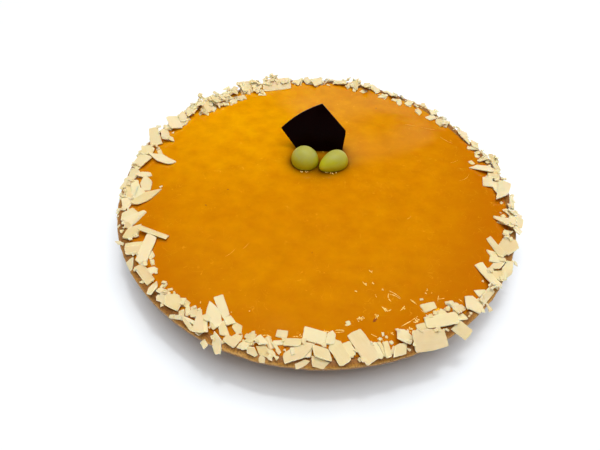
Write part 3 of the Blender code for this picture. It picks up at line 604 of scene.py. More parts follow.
class LayingMap:
    def __init__(self):
        x, y = flat_map()
        bearing, distance = polar(x, y)
        true_distance = distance - lip_wander(bearing) * warp_share(distance, LIP_HEIGHT)
        section = np.array(rim_top())
        rim = np.interp(true_distance, section[:, 0], section[:, 1])
        rim = rim + crown_lift(bearing, true_distance)
        filling = filling_height(x, y)
        over_crust = true_distance > INNER_EDGE
        beyond = true_distance > RIM_RADIUS + CLEAR
        self.lowest = {
            "filling": np.where(over_crust, rim + CLEAR, filling - SINK),
            "crust": np.where(over_crust, rim - SINK, filling + CLEAR),
        }
        for lowest in self.lowest.values():
            lowest[beyond] = 0.0
        self.own = {
            "filling": true_distance < INNER_EDGE - EDGE_STRIP,
            "crust": (true_distance > INNER_EDGE + EDGE_STRIP) & (true_distance < RIM_RADIUS),
        }

    def cells(self, x, y):
        return ((x + HALF_MAP) / CELL).astype(int), ((y + HALF_MAP) / CELL).astype(int)

    def raise_to(self, owner, cells, z, is_own):
        as_high = z > self.lowest[owner][cells] - 1e-7
        np.maximum.at(self.lowest[owner], cells, z)
        self.own[owner][cells[0][as_high], cells[1][as_high]] = is_own

    def cover(self, owner, points, normal, holds):
        """Adds a flat surface: its height at each cell's middle, and with room for the other side."""
        x, y, z = points.T
        across, along = self.cells(x, y)
        middle_x, middle_y = (across + 0.5) * CELL - HALF_MAP, (along + 0.5) * CELL - HALF_MAP
        level = z - (normal.x * (middle_x - x) + normal.y * (middle_y - y)) / normal.z
        self.raise_to(owner, (across, along), level - SINK, holds)
        other = "crust" if owner == "filling" else "filling"
        for i in (-1, 0, 1):
            for j in (-1, 0, 1):
                self.raise_to(other, (across + i, along + j), z + CLEAR, False)


def inside_outline(outline, x, y):
    inside = np.ones(len(x), bool)
    for (x1, y1), (x2, y2) in zip(outline, np.roll(outline, -1, axis=0)):
        inside &= (x2 - x1) * (y - y1) - (y2 - y1) * (x - x1) >= -1e-9
    return inside


def outline_samples(outline):
    """Points all over the outline, and points along its edges."""
    low, high = outline.min(axis=0), outline.max(axis=0)
    x, y = np.meshgrid(np.arange(low[0], high[0], SAMPLE), np.arange(low[1], high[1], SAMPLE))
    inside = inside_outline(outline, x.ravel(), y.ravel())
    edges = []
    for start, end in zip(outline, np.roll(outline, -1, axis=0)):
        count = 2 + int(np.linalg.norm(end - start) / SAMPLE)
        edges.append(start + np.linspace(0, 1, count)[:, None] * (end - start))
    return np.column_stack((x.ravel(), y.ravel()))[inside], np.concatenate(edges)


surface = LayingMap()
print("the map has", surface.lowest["filling"].size, "cells")

# %% [markdown]
# A plate that falls comes to rest as low as it can. For a plane that means the lowest middle height
# for which it clears every sample below it. A simulation would find it by shaking, but here the
# slopes are searched on a grid that halves its reach eight times, which gives the same plate each run.

# %% How a plate comes to rest
MOST_SLOPE = 0.5
SEARCH_ROUNDS = 8
SEARCH_STEPS = np.linspace(-1, 1, 9)
TOUCH = 0.00015
CORNER_JITTER = 0.07


def resting_plane(heights, x, y):
    """The lowest that a flat plate can lie on these heights: its middle and its two slopes."""
    best = (1.0, 0.0, 0.0)
    reach = MOST_SLOPE
    for _ in range(SEARCH_ROUNDS):
        slopes_x, slopes_y = np.meshgrid(SEARCH_STEPS, SEARCH_STEPS)
        slopes_x = np.clip(best[1] + reach * slopes_x.ravel(), -MOST_SLOPE, MOST_SLOPE)
        slopes_y = np.clip(best[2] + reach * slopes_y.ravel(), -MOST_SLOPE, MOST_SLOPE)
        middles = (heights - np.outer(slopes_x, x) - np.outer(slopes_y, y)).max(axis=1)
        lowest = int(middles.argmin())
        if middles[lowest] < best[0]:
            best = (float(middles[lowest]), float(slopes_x[lowest]), float(slopes_y[lowest]))
        reach *= 0.5
    return best


def shaving_outline(shape, length, width, dice, jitter=CORNER_JITTER):
    """The outline's corners, counter-clockwise. A width below nothing gives the mirrored shape."""
    corners = []
    for along, across in SHAPES[shape]:
        along += dice.uniform(-jitter, jitter)
        across += dice.uniform(-jitter, jitter)
        corners.append((along * length, across * width))
    if width < 0:
        corners = corners[:1] + corners[:0:-1]
    return np.array(corners)


def spot(bearing, distance):
    """A place in plan, from its bearing in degrees and its distance from the middle."""
    angle = math.radians(bearing)
    return distance * math.cos(angle), distance * math.sin(angle)


def turned(x, y, angle):
    """Points in plan, turned counter-clockwise round the origin."""
    return x * math.cos(angle) - y * math.sin(angle), x * math.sin(angle) + y * math.cos(angle)


def lie_down(owner, bearing, distance, heading, outline):
    """A shaving's middle, its two axes and its normal, or nothing where it would lie on the other
    side only. The axes have their full length in plan, so a tilted plate covers what was tested."""
    turn = math.radians(bearing + heading)
    dx, dy = turned(*np.concatenate(outline_samples(outline)).T, turn)
    x, y = spot(bearing, distance)
    cells = surface.cells(x + dx, y + dy)
    lowest = surface.lowest[owner][cells]
    z, slope_x, slope_y = resting_plane(lowest, dx, dy)
    touching = z + slope_x * dx + slope_y * dy - lowest < TOUCH
    if not (touching & surface.own[owner][cells]).any():
        return None
    slope = Vector((slope_x, slope_y))
    along, across = Vector((math.cos(turn), math.sin(turn))), Vector((-math.sin(turn), math.cos(turn)))
    along, across = (axis.to_3d() + Vector((0, 0, slope.dot(axis))) for axis in (along, across))
    return Vector((x, y, z)), along, across, along.cross(across).normalized()


def lean_back(bearing, distance, height, lean):
    """Stands a shaving on its long lower edge: its middle, its two axes and its normal."""
    angle = math.radians(bearing)
    tilt = math.radians(lean)
    outward = Vector((math.cos(angle), math.sin(angle), 0))
    along = Vector((math.sin(angle), -math.cos(angle), 0))
    across = (outward * math.sin(tilt) + Vector((0, 0, math.cos(tilt)))).normalized()
    foot = outward * distance
    foot.z = float(filling_height(foot.x, foot.y)) - SINK
    return foot + across * height / 2, along, across, along.cross(across)


print("a plate leans by up to", round(math.degrees(math.atan(MOST_SLOPE))), "degrees on each axis")

# %% [markdown]
# The two leaning plates come first, then the random ones, and last those that have their own place,
# over the others, which give the heap its depth. A random place is drawn again, a few times, until a
# large shaving will hide it. A plate that can lie neither on the filling nor on the crust alone is
# nudged inwards or outwards.

# %% Laying every shaving
SHAVING_THICKNESS = 0.0009
SEED = 16
SHORTEST = 0.4
BED_WIDTHS = (0.35, 0.70)
HIDDEN = 0.4
NUDGES = (0, -0.0006, 0.0006, -0.0012, 0.0012, -0.0018, 0.0018, -0.0026, -0.0036)


def lay(laid, owner, outline, place):
    """Keeps a shaving, and raises the map where it lies."""
    middle, along, across, normal = place
    for samples, holds in zip(outline_samples(outline), (True, False)):
        for lift in (0, SHAVING_THICKNESS):
            base = np.array(middle + normal * lift)
            points = base + samples[:, :1] * np.array(along) + samples[:, 1:] * np.array(across)
            surface.cover(owner, points, normal, holds)
    laid.append((owner, outline, *place))


def let_fall(laid, bearing, distance, heading, outline):
    for nudge in NUDGES:
        for owner in ("filling", "crust"):
            place = lie_down(owner, bearing, distance + nudge, heading, outline)
            if place:
                lay(laid, owner, outline, place)
                return


def large_shavings():
    """The rows of the large ones, in metres."""
    for bearing, distance, length, width, heading, shape in LARGE_SHAVINGS:
        yield bearing, distance / 1000, length / 1000, width / 1000, heading, shape


def under_large(bearing, distance):
    """Whether a large shaving will hide this place."""
    x, y = spot(bearing, distance)
    for large_bearing, large_distance, length, width, heading, _ in large_shavings():
        large_x, large_y = spot(large_bearing, large_distance)
        along, across = turned(x - large_x, y - large_y, -math.radians(large_bearing + heading))
        if abs(along) < length * HIDDEN and abs(across) < abs(width) * HIDDEN:
            return True
    for large_bearing, foot, length, height, lean in LEANING_SHAVINGS:
        aside = math.radians(abs(bearing - large_bearing)) * foot
        behind = foot + height * math.sin(math.radians(lean))
        if aside < length / 2 and distance < behind:
            return True
    return False


def lay_shavings():
    """Every shaving as (owner, outline, middle, along, across, normal), the large ones last."""
    dice = random.Random(SEED)
    laid = []
    for bearing, distance, length, height, lean in LEANING_SHAVINGS:
        outline = shaving_outline("plate", length, height, dice)
        outline[:, 1] = np.maximum(outline[:, 1], -height / 2)
        lay(laid, "filling", outline, lean_back(bearing, distance, height, lean))
    for first, last, count, nearest, reach, longest, tries in SHAVING_BEDS:
        for index in range(count):
            length = longest * dice.uniform(SHORTEST, 1.0)
            width = length * dice.uniform(*BED_WIDTHS)
            heading = dice.uniform(0, 360)
            turn = math.radians(heading)
            half = (length * abs(math.cos(turn)) + width * abs(math.sin(turn))) / 2
            for _ in range(tries):
                bearing = first + (last - first) * (index + dice.uniform(0, 1)) / count
                distance = dice.uniform(nearest, reach - half)
                if under_large(bearing, distance):
                    break
            outline = shaving_outline(dice.choice(list(SHAPES)), length, width, dice)
            let_fall(laid, bearing, distance, heading, outline)
    for bearing, distance, length, width, heading, shape in large_shavings():
        let_fall(laid, bearing, distance, heading, shaving_outline(shape, length, width, dice, jitter=0))
    return laid


shavings = lay_shavings()
print(sum(owner == "filling" for owner, *_ in shavings), "shavings lie on the filling, and",
      sum(owner == "crust" for owner, *_ in shavings), "on the crust")

# %% [markdown]
# Breaking chocolate also leaves chips and crumbs of 1 to 8 mm. They slip down between the plates,
# and a few lie further in. They are small enough to be left out of the solids, so they are drawn
# here, on the same map, with their own dice, and one that would land on a large plate is drawn anew.

# %% Chips between the shavings
CHIP_SEED = 5
# From bearing, to bearing, how many, nearest, furthest, longest
CHIP_BEDS = (
    (15, 62, 60, 0.1325, 0.1415, 0.0050),
    (62, 100, 50, 0.1315, 0.1405, 0.0045),
    (100, 113, 20, 0.1310, 0.1405, 0.0060),
    (113, 141, 110, 0.1230, 0.1395, 0.0080),
    (141, 200, 60, 0.1290, 0.1395, 0.0045),
    (200, 250, 40, 0.1265, 0.1385, 0.0042),
    (250, 312, 60, 0.1240, 0.1375, 0.0042),
    (312, 375, 60, 0.1300, 0.1415, 0.0055),
)
SHORTEST_CHIP = 0.0013
USUAL_CHIP = 0.4
CHIP_THICKNESS = SHAVING_THICKNESS * 0.7
CHIP_WIDTHS = (0.5, 1.0)
CHIP_TRIES = 6

# Chips that lie alone on the glaze: bearing, distance, length, width, heading
LONE_CHIPS = (
    (279, 0.1136, 0.0030, 0.0026, 20),
    (303, 0.1135, 0.0022, 0.0012, 70),
    (184, 0.1120, 0.0024, 0.0014, 30),
)


def lay_chips():
    dice = random.Random(CHIP_SEED)
    laid = []
    for first, last, count, nearest, furthest, longest in CHIP_BEDS:
        for _ in range(count):
            length = dice.triangular(SHORTEST_CHIP, longest, longest * USUAL_CHIP)
            width = length * dice.uniform(*CHIP_WIDTHS)
            outline = shaving_outline(dice.choice(list(SHAPES)), length, width, dice)
            for _ in range(CHIP_TRIES):
                bearing = dice.uniform(first, last)
                distance = dice.uniform(nearest, furthest)
                if not under_large(bearing, distance):
                    let_fall(laid, bearing, distance, dice.uniform(0, 360), outline)
                    break
    for bearing, distance, length, width, heading in LONE_CHIPS:
        let_fall(laid, bearing, distance, heading, shaving_outline("plate", length, width, dice))
    return laid


chips = lay_chips()
print(len(chips), "chips")

# %% [markdown]
# The filling is one mass of cooked apricot under a glaze that set while wet. It is raised like the
# crust, from a disc at its bottom to a pole on top, with rings close together where the surface has
# fine form: round the grapes and the plaque, and in the last centimetres before the rim. There the
# glaze ran out a little unevenly and wets the crust.

# %% The filling's closed body
FILLING_SECTORS = 640
FILLING_EDGE = INNER_EDGE + 0.0008
FINE_RING = 0.0008
COARSE_RING = 0.0015
COARSE_FROM, COARSE_TO = 0.050, 0.108
bottom = FLOOR_THICKNESS + GAP
filling_section = [
    (0.060, bottom),
    (FLOOR_EDGE - GAP - 0.0020, bottom),
    (FLOOR_EDGE - GAP + 0.0010, bottom + 0.0029),
    (INNER_EDGE - 0.0013, LIP_HEIGHT - 0.0030),
    (FILLING_EDGE, LIP_HEIGHT - 0.0006),
]
ring = FILLING_EDGE - 0.0003
while ring > FINE_RING:
    filling_section.append((ring, LIP_HEIGHT))
    ring -= COARSE_RING if COARSE_FROM < ring < COARSE_TO else FINE_RING
filling = raise_solid("apricot_filling_glazed", filling_section, FILLING_SECTORS)
print("filling", len(filling.data.polygons), "faces in", len(filling_section), "rings")

# %% [markdown]
# The grapes and the plaque stand in the glaze, and both its relief and its colour need to know how
# far each place is from them. Each distance is worked out from the thing's own form: an ellipse
# where a grape goes into the glaze, and a box for the plaque's foot.

# %% What stands in the glaze
# Each grape's middle, half its length and width, its turn, and how much its far end narrows
GRAPES = {
    "grape_left": (Vector((-0.0091, 0.0229, 0.0308)), 0.0098, 0.0106, math.radians(48), 0.0),
    "grape_right": (Vector((0.0120, 0.0195, 0.0316)), 0.0120, 0.0083, math.radians(36), 0.27),
}
PLAQUE_FOOT = Vector((0.0042, 0.0361, 0.0278))
PLAQUE_HALF_FOOT = 0.0150
PLAQUE_THICKNESS = 0.0022
WATERLINE = 0.0284


def grape_girth(x, y, sizes):
    """How far a place is from a grape's waterline, and below nothing inside it."""
    middle, half_length, half_width, turn, _ = sizes
    sunk = math.sqrt(1 - ((middle.z - WATERLINE) / half_width) ** 2)
    along, across = turned(x - middle.x, y - middle.y, -turn)
    share = np.hypot(along / (half_length * sunk), across / (half_width * sunk))
    return (share - 1) * half_width * sunk


def plaque_distance(x, y):
    aside = np.maximum(np.abs(x - PLAQUE_FOOT.x) - PLAQUE_HALF_FOOT, 0)
    behind = np.maximum(np.abs(y - PLAQUE_FOOT.y - PLAQUE_THICKNESS / 2) - PLAQUE_THICKNESS / 2, 0)
    return np.hypot(aside, behind)


print("the glaze's middle is", round(float(plaque_distance(0.0, 0.0)) * 1000, 1), "mm from the plaque")

# %% [markdown]
# A wet surface climbs whatever stands in it. Round the grapes, the plaque and the shavings the
# glaze rises by a few tenths of a millimetre, and these small slopes are what sparkles. Where the
# glaze was spread last, at the front right and the back right, it has set in ripples and low lumps.
# A bump in the material could draw them, but the mesh is a result of its own, so they are real.

# %% The glaze's wet relief
WETTING = 0.0005
PLAQUE_WETTING = WETTING / 3
WETTING_REACH = 0.0009
SHAVING_WETTING = 0.00022
RUN_OUT = 0.0005
RUN_OUT_SIZE = 0.06

# Ripples: bearing, distance and radius of the patch, height, size of one ripple
RIPPLES = (
    (295, 0.100, 0.020, 0.00020, 0.0050),
    (306, 0.117, 0.012, 0.00018, 0.0040),
    (272, 0.122, 0.014, 0.00014, 0.0040),
    (44, 0.119, 0.018, 0.00012, 0.0070),
)

# Low lumps under the glaze: x, y, radius, height
LUMP_TOP, LUMP_FOOT = 0.5, 1.2
LUMPS = (
    (0.0300, -0.0900, 0.0030, 0.00016),
    (0.0560, -0.0930, 0.0035, 0.00014),
    (0.0560, -0.1090, 0.0030, 0.00020),
)


def spread(flags, passes=4):
    """Softens a map of yes and no by averaging each cell with its neighbours."""
    soft = flags.astype(float)
    for _ in range(passes):
        for axis in (0, 1):
            soft = (np.roll(soft, 1, axis) + soft + np.roll(soft, -1, axis)) / 3
    return soft


def wet_relief(piece):
    places = read_points(piece)
    on_top = np.abs(places[:, 2] - LIP_HEIGHT) < 1e-6
    places = uneven(places)
    bearing, distance = polar(places[:, 0], places[:, 1])
    round_about = np.column_stack((np.cos(bearing), np.sin(bearing), 0 * bearing))
    runs_out = RUN_OUT * bumps(round_about, RUN_OUT_SIZE)
    runs_out *= smooth_step(INNER_EDGE - RELIEF_FADE, INNER_EDGE, distance)
    places[:, :2] *= (1 + runs_out / np.maximum(distance, 0.01))[:, None]
    x, y = places[:, 0], places[:, 1]
    height = filling_height(x, y)
    for sizes in GRAPES.values():
        height += WETTING * np.exp(-np.maximum(grape_girth(x, y, sizes), 0) / WETTING_REACH)
    height += PLAQUE_WETTING * np.exp(-plaque_distance(x, y) / WETTING_REACH)
    sunk_in = surface.lowest["filling"] > filling_height(*flat_map()) + SINK / 2
    height += SHAVING_WETTING * spread(sunk_in)[surface.cells(x, y)]
    flat = np.column_stack((x, y, 0 * x))
    for ripple_bearing, ripple_distance, radius, rise, size in RIPPLES:
        ripple_x, ripple_y = spot(ripple_bearing, ripple_distance)
        away = np.hypot(x - ripple_x, y - ripple_y)
        near = away < 2 * radius
        height[near] += rise * np.exp(-(away[near] / radius) ** 2) * bumps(flat[near], size, 2)
    for lump_x, lump_y, radius, rise in LUMPS:
        away = np.hypot(x - lump_x, y - lump_y)
        height += rise * (1 - smooth_step(radius * LUMP_TOP, radius * LUMP_FOOT, away))
    places[on_top, 2] = height[on_top]
    write_points(piece, places)
    return height[on_top].max() - height[on_top].min()


print("the glaze rises and falls by", round(wet_relief(filling) * 1000, 2), "mm")

# %% [markdown]
# Round the foot of each grape and of the plaque the glaze is painted brown: painted shade, and a
# painted dark reflection of them. The material can't know where that is, so each point of the mesh
# carries a number of its own, an attribute, which the jelly's colour reads later.

# %% Painted shade round the grapes and the plaque
# Painted shade: how far the painted brown round each foot reaches.
FOOT_SHADE_REACH = 0.0042


def mark_foot_shade(piece):
    """Writes how near each point is to the foot of a grape or the plaque, for the jelly's painted shade."""
    x, y, _ = read_points(piece).T
    away = [grape_girth(x, y, sizes) for sizes in GRAPES.values()] + [plaque_distance(x, y)]
    open_share = np.prod(1 - np.exp(-np.maximum(away, 0) / FOOT_SHADE_REACH), axis=0)
    piece.data.attributes.new("foot_shade", "FLOAT", "POINT").data.foreach_set("value", 1 - open_share)
    return (open_share < 0.5).sum()


print(mark_foot_shade(filling), "points lie in the pools")

# %% [markdown]
# Every finished piece gets the same treatment: its material, smooth shading that keeps sharp
# edges sharp, the body it rides on, and the imported solids that it stands for, which are hidden.

# %% Finishing a piece
def select_only(first, *others):
    """Selects these pieces and nothing else, and makes the first one active."""
    bpy.ops.object.select_all(action="DESELECT")
    for piece in (first, *others):
        piece.select_set(True)
    bpy.context.view_layer.objects.active = first


def finish(piece, materials, slot, *nodes, sharp=35):
    for material in materials:
        piece.data.materials.append(material)
    select_only(piece)
    bpy.ops.object.shade_smooth_by_angle(angle=math.radians(sharp))
    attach(piece, "root")
    if nodes:
        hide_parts(*nodes)
    triangles = sum(len(face.vertices) - 2 for face in piece.data.polygons)
    print(piece.name, "has", triangles, "triangles")


# %% [markdown]
# Yeast dough bakes golden: a matt skin with fine pores. The colour follows the height, which a noise
# of 7 mm shifts up and down for uneven browning, and a finer one of 1 mm is the crumb. It is palest
# in a narrow band along the lip, and darkest on the crown, partly from the heat and the glaze it
# caught and partly as painted shade, for the shade between the shavings that lie there. Real pores
# are finer than a pixel here, so they are drawn about twice as coarse.

# %% Material: baked yeast dough
BROWNING_SHIFT = 0.9 * MM
WALL_TONE_TO = LIP_HEIGHT - 2.6 * MM
CROWN_TONE_FROM = LIP_HEIGHT + 1.6 * MM


def baked_yeast_dough():
    material, tree, shader = new_material("baked_yeast_dough", Roughness=0.62, Specular_IOR_Level=0.4,
                                          Coat_Weight=0.25, Coat_Roughness=0.35)
    place = add_node(tree, "ShaderNodeTexCoord").outputs["Object"]
    browning = add_node(tree, "ShaderNodeTexNoise", {"Vector": place, "Scale": 1 / (7 * MM), "Detail": 4.0})
    height = add_node(tree, "ShaderNodeSeparateXYZ", {0: place})
    shifted = add_node(tree, "ShaderNodeMath", {0: browning.outputs["Fac"], 1: BROWNING_SHIFT,
                                                2: height.outputs["Z"]}, operation="MULTIPLY_ADD")
    baked = add_node(tree, "ShaderNodeMapRange", {
        "Value": shifted.outputs["Value"], "From Min": WALL_TONE_TO + BROWNING_SHIFT / 2,
        "From Max": CROWN_TONE_FROM + BROWNING_SHIFT / 2})
    # Painted shade in part: the crown's darkest browns stand for the shade between the shavings.
    colour = add_node(tree, "ShaderNodeValToRGB", {"Fac": baked.outputs["Result"]}, stops=(
        (0.0, paint("96662a")), (0.38, paint("9c6c2c")), (0.50, paint("c89a54")), (0.64, paint("ae7a28")),
        (0.82, paint("966020")), (1.0, paint("845214"))))
    crumb = add_node(tree, "ShaderNodeTexNoise", {"Vector": place, "Scale": 1 / (0.9 * MM), "Detail": 3.0})
    pores = add_node(tree, "ShaderNodeValToRGB", {"Fac": crumb.outputs["Fac"]},
                     stops=((0.36, paint("70441c")), (0.52, GREY[1.0])))
    toned = add_node(tree, "ShaderNodeMix", {0: 0.55, MIX_A: colour.outputs["Color"],
                                             MIX_B: pores.outputs["Color"]},
                     data_type="RGBA", blend_type="MULTIPLY")
    bump = add_node(tree, "ShaderNodeBump", {"Height": crumb.outputs["Fac"], "Strength": 0.6,
                                             "Distance": 0.25 * MM})
    tree.links.new(toned.outputs[MIX_COLOUR], shader.inputs["Base Color"])
    tree.links.new(bump.outputs["Normal"], shader.inputs["Normal"])
    return material


finish(crust, [baked_yeast_dough()], "baked_dough", "crust")

# %% [markdown]
# Apricot jelly is a wet, clear gel full of fine fruit. Light goes a few millimetres into it, so it
# glows a little round shadows, and its surface is as smooth as water. Its colour isn't even. It is
# yellower and brighter at the back left and across the back: partly pale fruit under the jelly, and
# partly painted light, for the back that lies nearer the main light. Towards the rim at the front and
# the sides it is painted a deeper orange, which is painted shade, and at the foot of the grapes and
# the plaque it is painted brown, as painted shade and a painted dark reflection of them. The first two
# are drawn by the distance from a middle, squeezed along Y by a Mapping node. Short lighter fibres of
# fruit lie in it, drawn as thin lines where a noise crosses one level, and faint mottling keeps it
# from looking like plastic.

# %% Material: apricot jelly glaze
# Partly painted light: the jelly is painted yellower and brighter towards the back left and across the back,
# partly for pale fruit under it and partly for the back lying nearer the main light.
YELLOW_AND_LIT_MIDDLE = {"Location": (-0.062, 0.082, 0.027), "Scale": (1.0, 0.77, 1.0)}
YELLOW_AND_LIT_REACH = {"From Min": 0.166, "From Max": 0.005}
# Painted shade: the jelly is painted a deeper orange towards the rim at the front and the sides.
EDGE_SHADE_MIDDLE = {"Location": (-0.008, 0.062, 0.028), "Scale": (1.0, 1.50, 1.0)}
EDGE_SHADE_FROM = {"From Min": 0.098, "From Max": 0.149, "To Max": 0.92}
FIBRE_LEVELS = (0.494, 0.500, 0.506)
FIBRE_PATCHES = {"From Min": 0.46, "From Max": 0.60, "To Max": 0.5}


def apricot_jelly():
    material, tree, shader = new_material("apricot_jelly", Roughness=0.07, IOR=1.40,
                                          Subsurface_Weight=0.45, Subsurface_Scale=0.003,
                                          Subsurface_Radius=(1.0, 0.35, 0.05))
    place = add_node(tree, "ShaderNodeTexCoord").outputs["Object"]
    brushed = add_node(tree, "ShaderNodeMapping", {"Vector": place, "Scale": (0.8, 1.0, 1.0)})
    mottle = add_node(tree, "ShaderNodeTexNoise", {"Vector": brushed.outputs["Vector"],
                                                   "Scale": 1 / (10 * MM), "Detail": 5.0, "Roughness": 0.6})
    orange = add_node(tree, "ShaderNodeValToRGB", {"Fac": mottle.outputs["Fac"]}, stops=(
        (0.30, paint("c17501")), (0.50, paint("c87d01")), (0.70, paint("cf8501"))))
    centred = add_node(tree, "ShaderNodeMapping", {"Vector": place, **YELLOW_AND_LIT_MIDDLE},
                       vector_type="TEXTURE")
    near = add_node(tree, "ShaderNodeVectorMath", {0: centred.outputs["Vector"]}, operation="LENGTH")
    zone = add_node(tree, "ShaderNodeMapRange", {"Value": near.outputs["Value"], **YELLOW_AND_LIT_REACH},
                    interpolation_type="SMOOTHSTEP")
    broken = add_node(tree, "ShaderNodeMath", {0: zone.outputs["Result"], 1: mottle.outputs["Fac"]},
                      operation="MULTIPLY")
    # Pale fruit and painted light towards the back.
    yellow_and_lit = add_node(tree, "ShaderNodeMix", {0: broken.outputs["Value"], MIX_A: orange.outputs["Color"],
                                               MIX_B: paint("eaa600")}, data_type="RGBA")
    squeezed = add_node(tree, "ShaderNodeMapping", {"Vector": place, **EDGE_SHADE_MIDDLE},
                        vector_type="TEXTURE")
    away = add_node(tree, "ShaderNodeVectorMath", {0: squeezed.outputs["Vector"]}, operation="LENGTH")
    rim = add_node(tree, "ShaderNodeMapRange", {"Value": away.outputs["Value"], **EDGE_SHADE_FROM},
                   interpolation_type="SMOOTHSTEP")
    # Painted shade towards the rim at the front and the sides.
    edge_shaded = add_node(tree, "ShaderNodeMix", {0: rim.outputs["Result"], MIX_A: yellow_and_lit.outputs[MIX_COLOUR],
                                               MIX_B: paint("b86802")}, data_type="RGBA")
    # Painted shade and a painted dark reflection round the feet of the grapes and the plaque.
    foot_shade = add_node(tree, "ShaderNodeAttribute", attribute_name="foot_shade")
    foot_shaded = add_node(tree, "ShaderNodeMix", {0: foot_shade.outputs["Fac"], MIX_A: edge_shaded.outputs[MIX_COLOUR],
                                               MIX_B: paint("4c2c00")}, data_type="RGBA")
    strands = add_node(tree, "ShaderNodeTexNoise", {"Vector": place, "Scale": 1 / (7 * MM), "Detail": 1.0,
                                                    "Distortion": 0.8})
    line = add_node(tree, "ShaderNodeValToRGB", {"Fac": strands.outputs["Fac"]},
                    stops=tuple(zip(FIBRE_LEVELS, (GREY[0.0], GREY[1.0], GREY[0.0]))))
    patches = add_node(tree, "ShaderNodeTexNoise", {"Vector": place, "Scale": 1 / (8 * MM), "Detail": 2.0})
    shown = add_node(tree, "ShaderNodeMapRange", {"Value": patches.outputs["Fac"], **FIBRE_PATCHES})
    fibres = add_node(tree, "ShaderNodeMath", {0: line.outputs["Color"], 1: shown.outputs["Result"]},
                      operation="MULTIPLY")
    streaked = add_node(tree, "ShaderNodeMix", {0: fibres.outputs["Value"],
                                                MIX_A: foot_shaded.outputs[MIX_COLOUR],
                                                MIX_B: paint("f3b234")}, data_type="RGBA")
    tree.links.new(streaked.outputs[MIX_COLOUR], shader.inputs["Base Color"])
    return material


finish(filling, [apricot_jelly()], "apricot_glaze", "apricot_filling", sharp=60)

# %% [markdown]
# One shaving is modelled once, as a small flat grid, and copied to every place in the layout. A box
# could be squashed to each outline, but its sides would stay straight. So each copy is stretched
# over its own outline with a Coons patch, which fills a shape from its four sides, and a bent side
# comes out right too. The grid has an even number of rows, because a fifth corner lies halfway along
# its side and needs a point there.

# %% One flat shaving
def take_apart(piece):
    """A piece's points and faces. The piece itself is removed."""
    points = read_points(piece)
    faces = [tuple(face.vertices) for face in piece.data.polygons]
    bpy.data.objects.remove(piece)
    return points, faces


def unit_plate(columns, rows):
    """A flat grid, modelled once: its points as shares along and across, and its faces."""
    points, faces = take_apart(add_primitive(bpy.ops.mesh.primitive_grid_add, "plate",
                                             x_subdivisions=columns, y_subdivisions=rows, size=1))
    return points[:, :2] + 0.5, np.array(faces)


def side_points(start, end, between, shares):
    """Points along one side of an outline, by way of a corner between its ends if it has one."""
    if between is None:
        return start + shares[:, None] * (end - start)
    first = start + 2 * shares[:, None] * (between - start)
    second = between + (2 * shares[:, None] - 1) * (end - between)
    return np.where(shares[:, None] < 0.5, first, second)


def stretch_over(outline, shares):
    """A Coons patch: flat points that fill an outline of four or five corners."""
    extra = outline[0] if len(outline) == 5 else None
    a, b, c, d = outline[-4:]
    u, v = shares.T
    one_u, one_v = u[:, None], v[:, None]
    low, high = side_points(a, b, None, u), side_points(d, c, None, u)
    left, right = side_points(a, d, extra, v), side_points(b, c, None, v)
    corners = (1 - one_u) * (1 - one_v) * a + one_u * (1 - one_v) * b + one_u * one_v * c \
        + (1 - one_u) * one_v * d
    return (1 - one_v) * low + one_v * high + (1 - one_u) * left + one_u * right - corners


print("a shaving starts as", len(unit_plate(8, 4)[1]), "flat faces")

# %% [markdown]
# Broken chocolate has small nicks along its edge and is never quite flat, so edge points wander and
# each plate curls a little. Solidify then gives the true thickness, with its own material on the
# broken rim, and a narrow Bevel rounds the edges. Copies as linked objects would all nick and curl
# alike, so they are made in one go, as one mesh of many plates.

# %% Copies of it, with nicks, curls and thickness
NICK = 0.00009
MOST_NICK = 0.05
CURL = 0.024
TWIST = CURL / 3
BROKEN_CORNER = 0.09
RIM_BEVEL = 0.0003
OUTERMOST = 0.499


def put_together(name, points, faces):
    """A new piece from lists of points and faces."""
    mesh = bpy.data.meshes.new(name)
    mesh.from_pydata(np.concatenate(points).tolist(), [], faces)
    piece = bpy.data.objects.new(name, mesh)
    bpy.context.collection.objects.link(piece)
    return piece


def copy_plates(name, laid, shares, faces, seed):
    """One mesh with a curled and nicked copy of the plate for each place."""
    dice = np.random.default_rng(seed)
    at_edge = (np.abs(shares - 0.5).max(axis=1) > OUTERMOST)[:, None]
    at_corner = (np.abs(shares - 0.5).min(axis=1) > OUTERMOST)[:, None]
    points, grain, tints = [], [], []
    for _, outline, middle, along, across, normal in laid:
        size = np.ptp(outline, axis=0)
        flat = stretch_over(outline, shares)
        step = min(NICK, size.min() * MOST_NICK)
        flat = flat + at_edge * dice.normal(0, step, flat.shape)
        flat = flat * (1 - at_corner * dice.uniform(0, BROKEN_CORNER, at_corner.shape))
        curl, twist = dice.normal(0, CURL) * size[0], dice.normal(0, TWIST) * size[0]
        lift = curl * ((shares[:, 0] - 0.5) ** 2 * 4 - 0.4) + twist * (shares[:, 1] - 0.5)
        places = np.array(middle) + flat[:, :1] * np.array(along) + flat[:, 1:] * np.array(across)
        points.append(places + lift[:, None] * np.array(normal))
        grain.append(flat + dice.uniform(0, 1, 2))
        tints.append(np.tile((*dice.uniform(0, 1, 2), 0.0, 1.0), (len(shares), 1)))
    every_face = np.concatenate([faces + len(shares) * index for index in range(len(laid))])
    piece = put_together(name, points, every_face.tolist())
    corners = every_face.ravel()
    piece.data.uv_layers.new(name="grain").data.foreach_set(
        "uv", np.concatenate(grain)[corners].astype(np.float32).ravel())
    tint = piece.data.color_attributes.new("tint", "FLOAT_COLOR", "CORNER")
    tint.data.foreach_set("color", np.concatenate(tints)[corners].astype(np.float32).ravel())
    return piece


def apply_modifier(piece, kind, **settings):
    """Adds a modifier with these settings to the active piece, and applies it."""
    modifier = piece.modifiers.new(kind, kind)
    for name, value in settings.items():
        setattr(modifier, name, value)
    bpy.ops.object.modifier_apply(modifier=modifier.name)


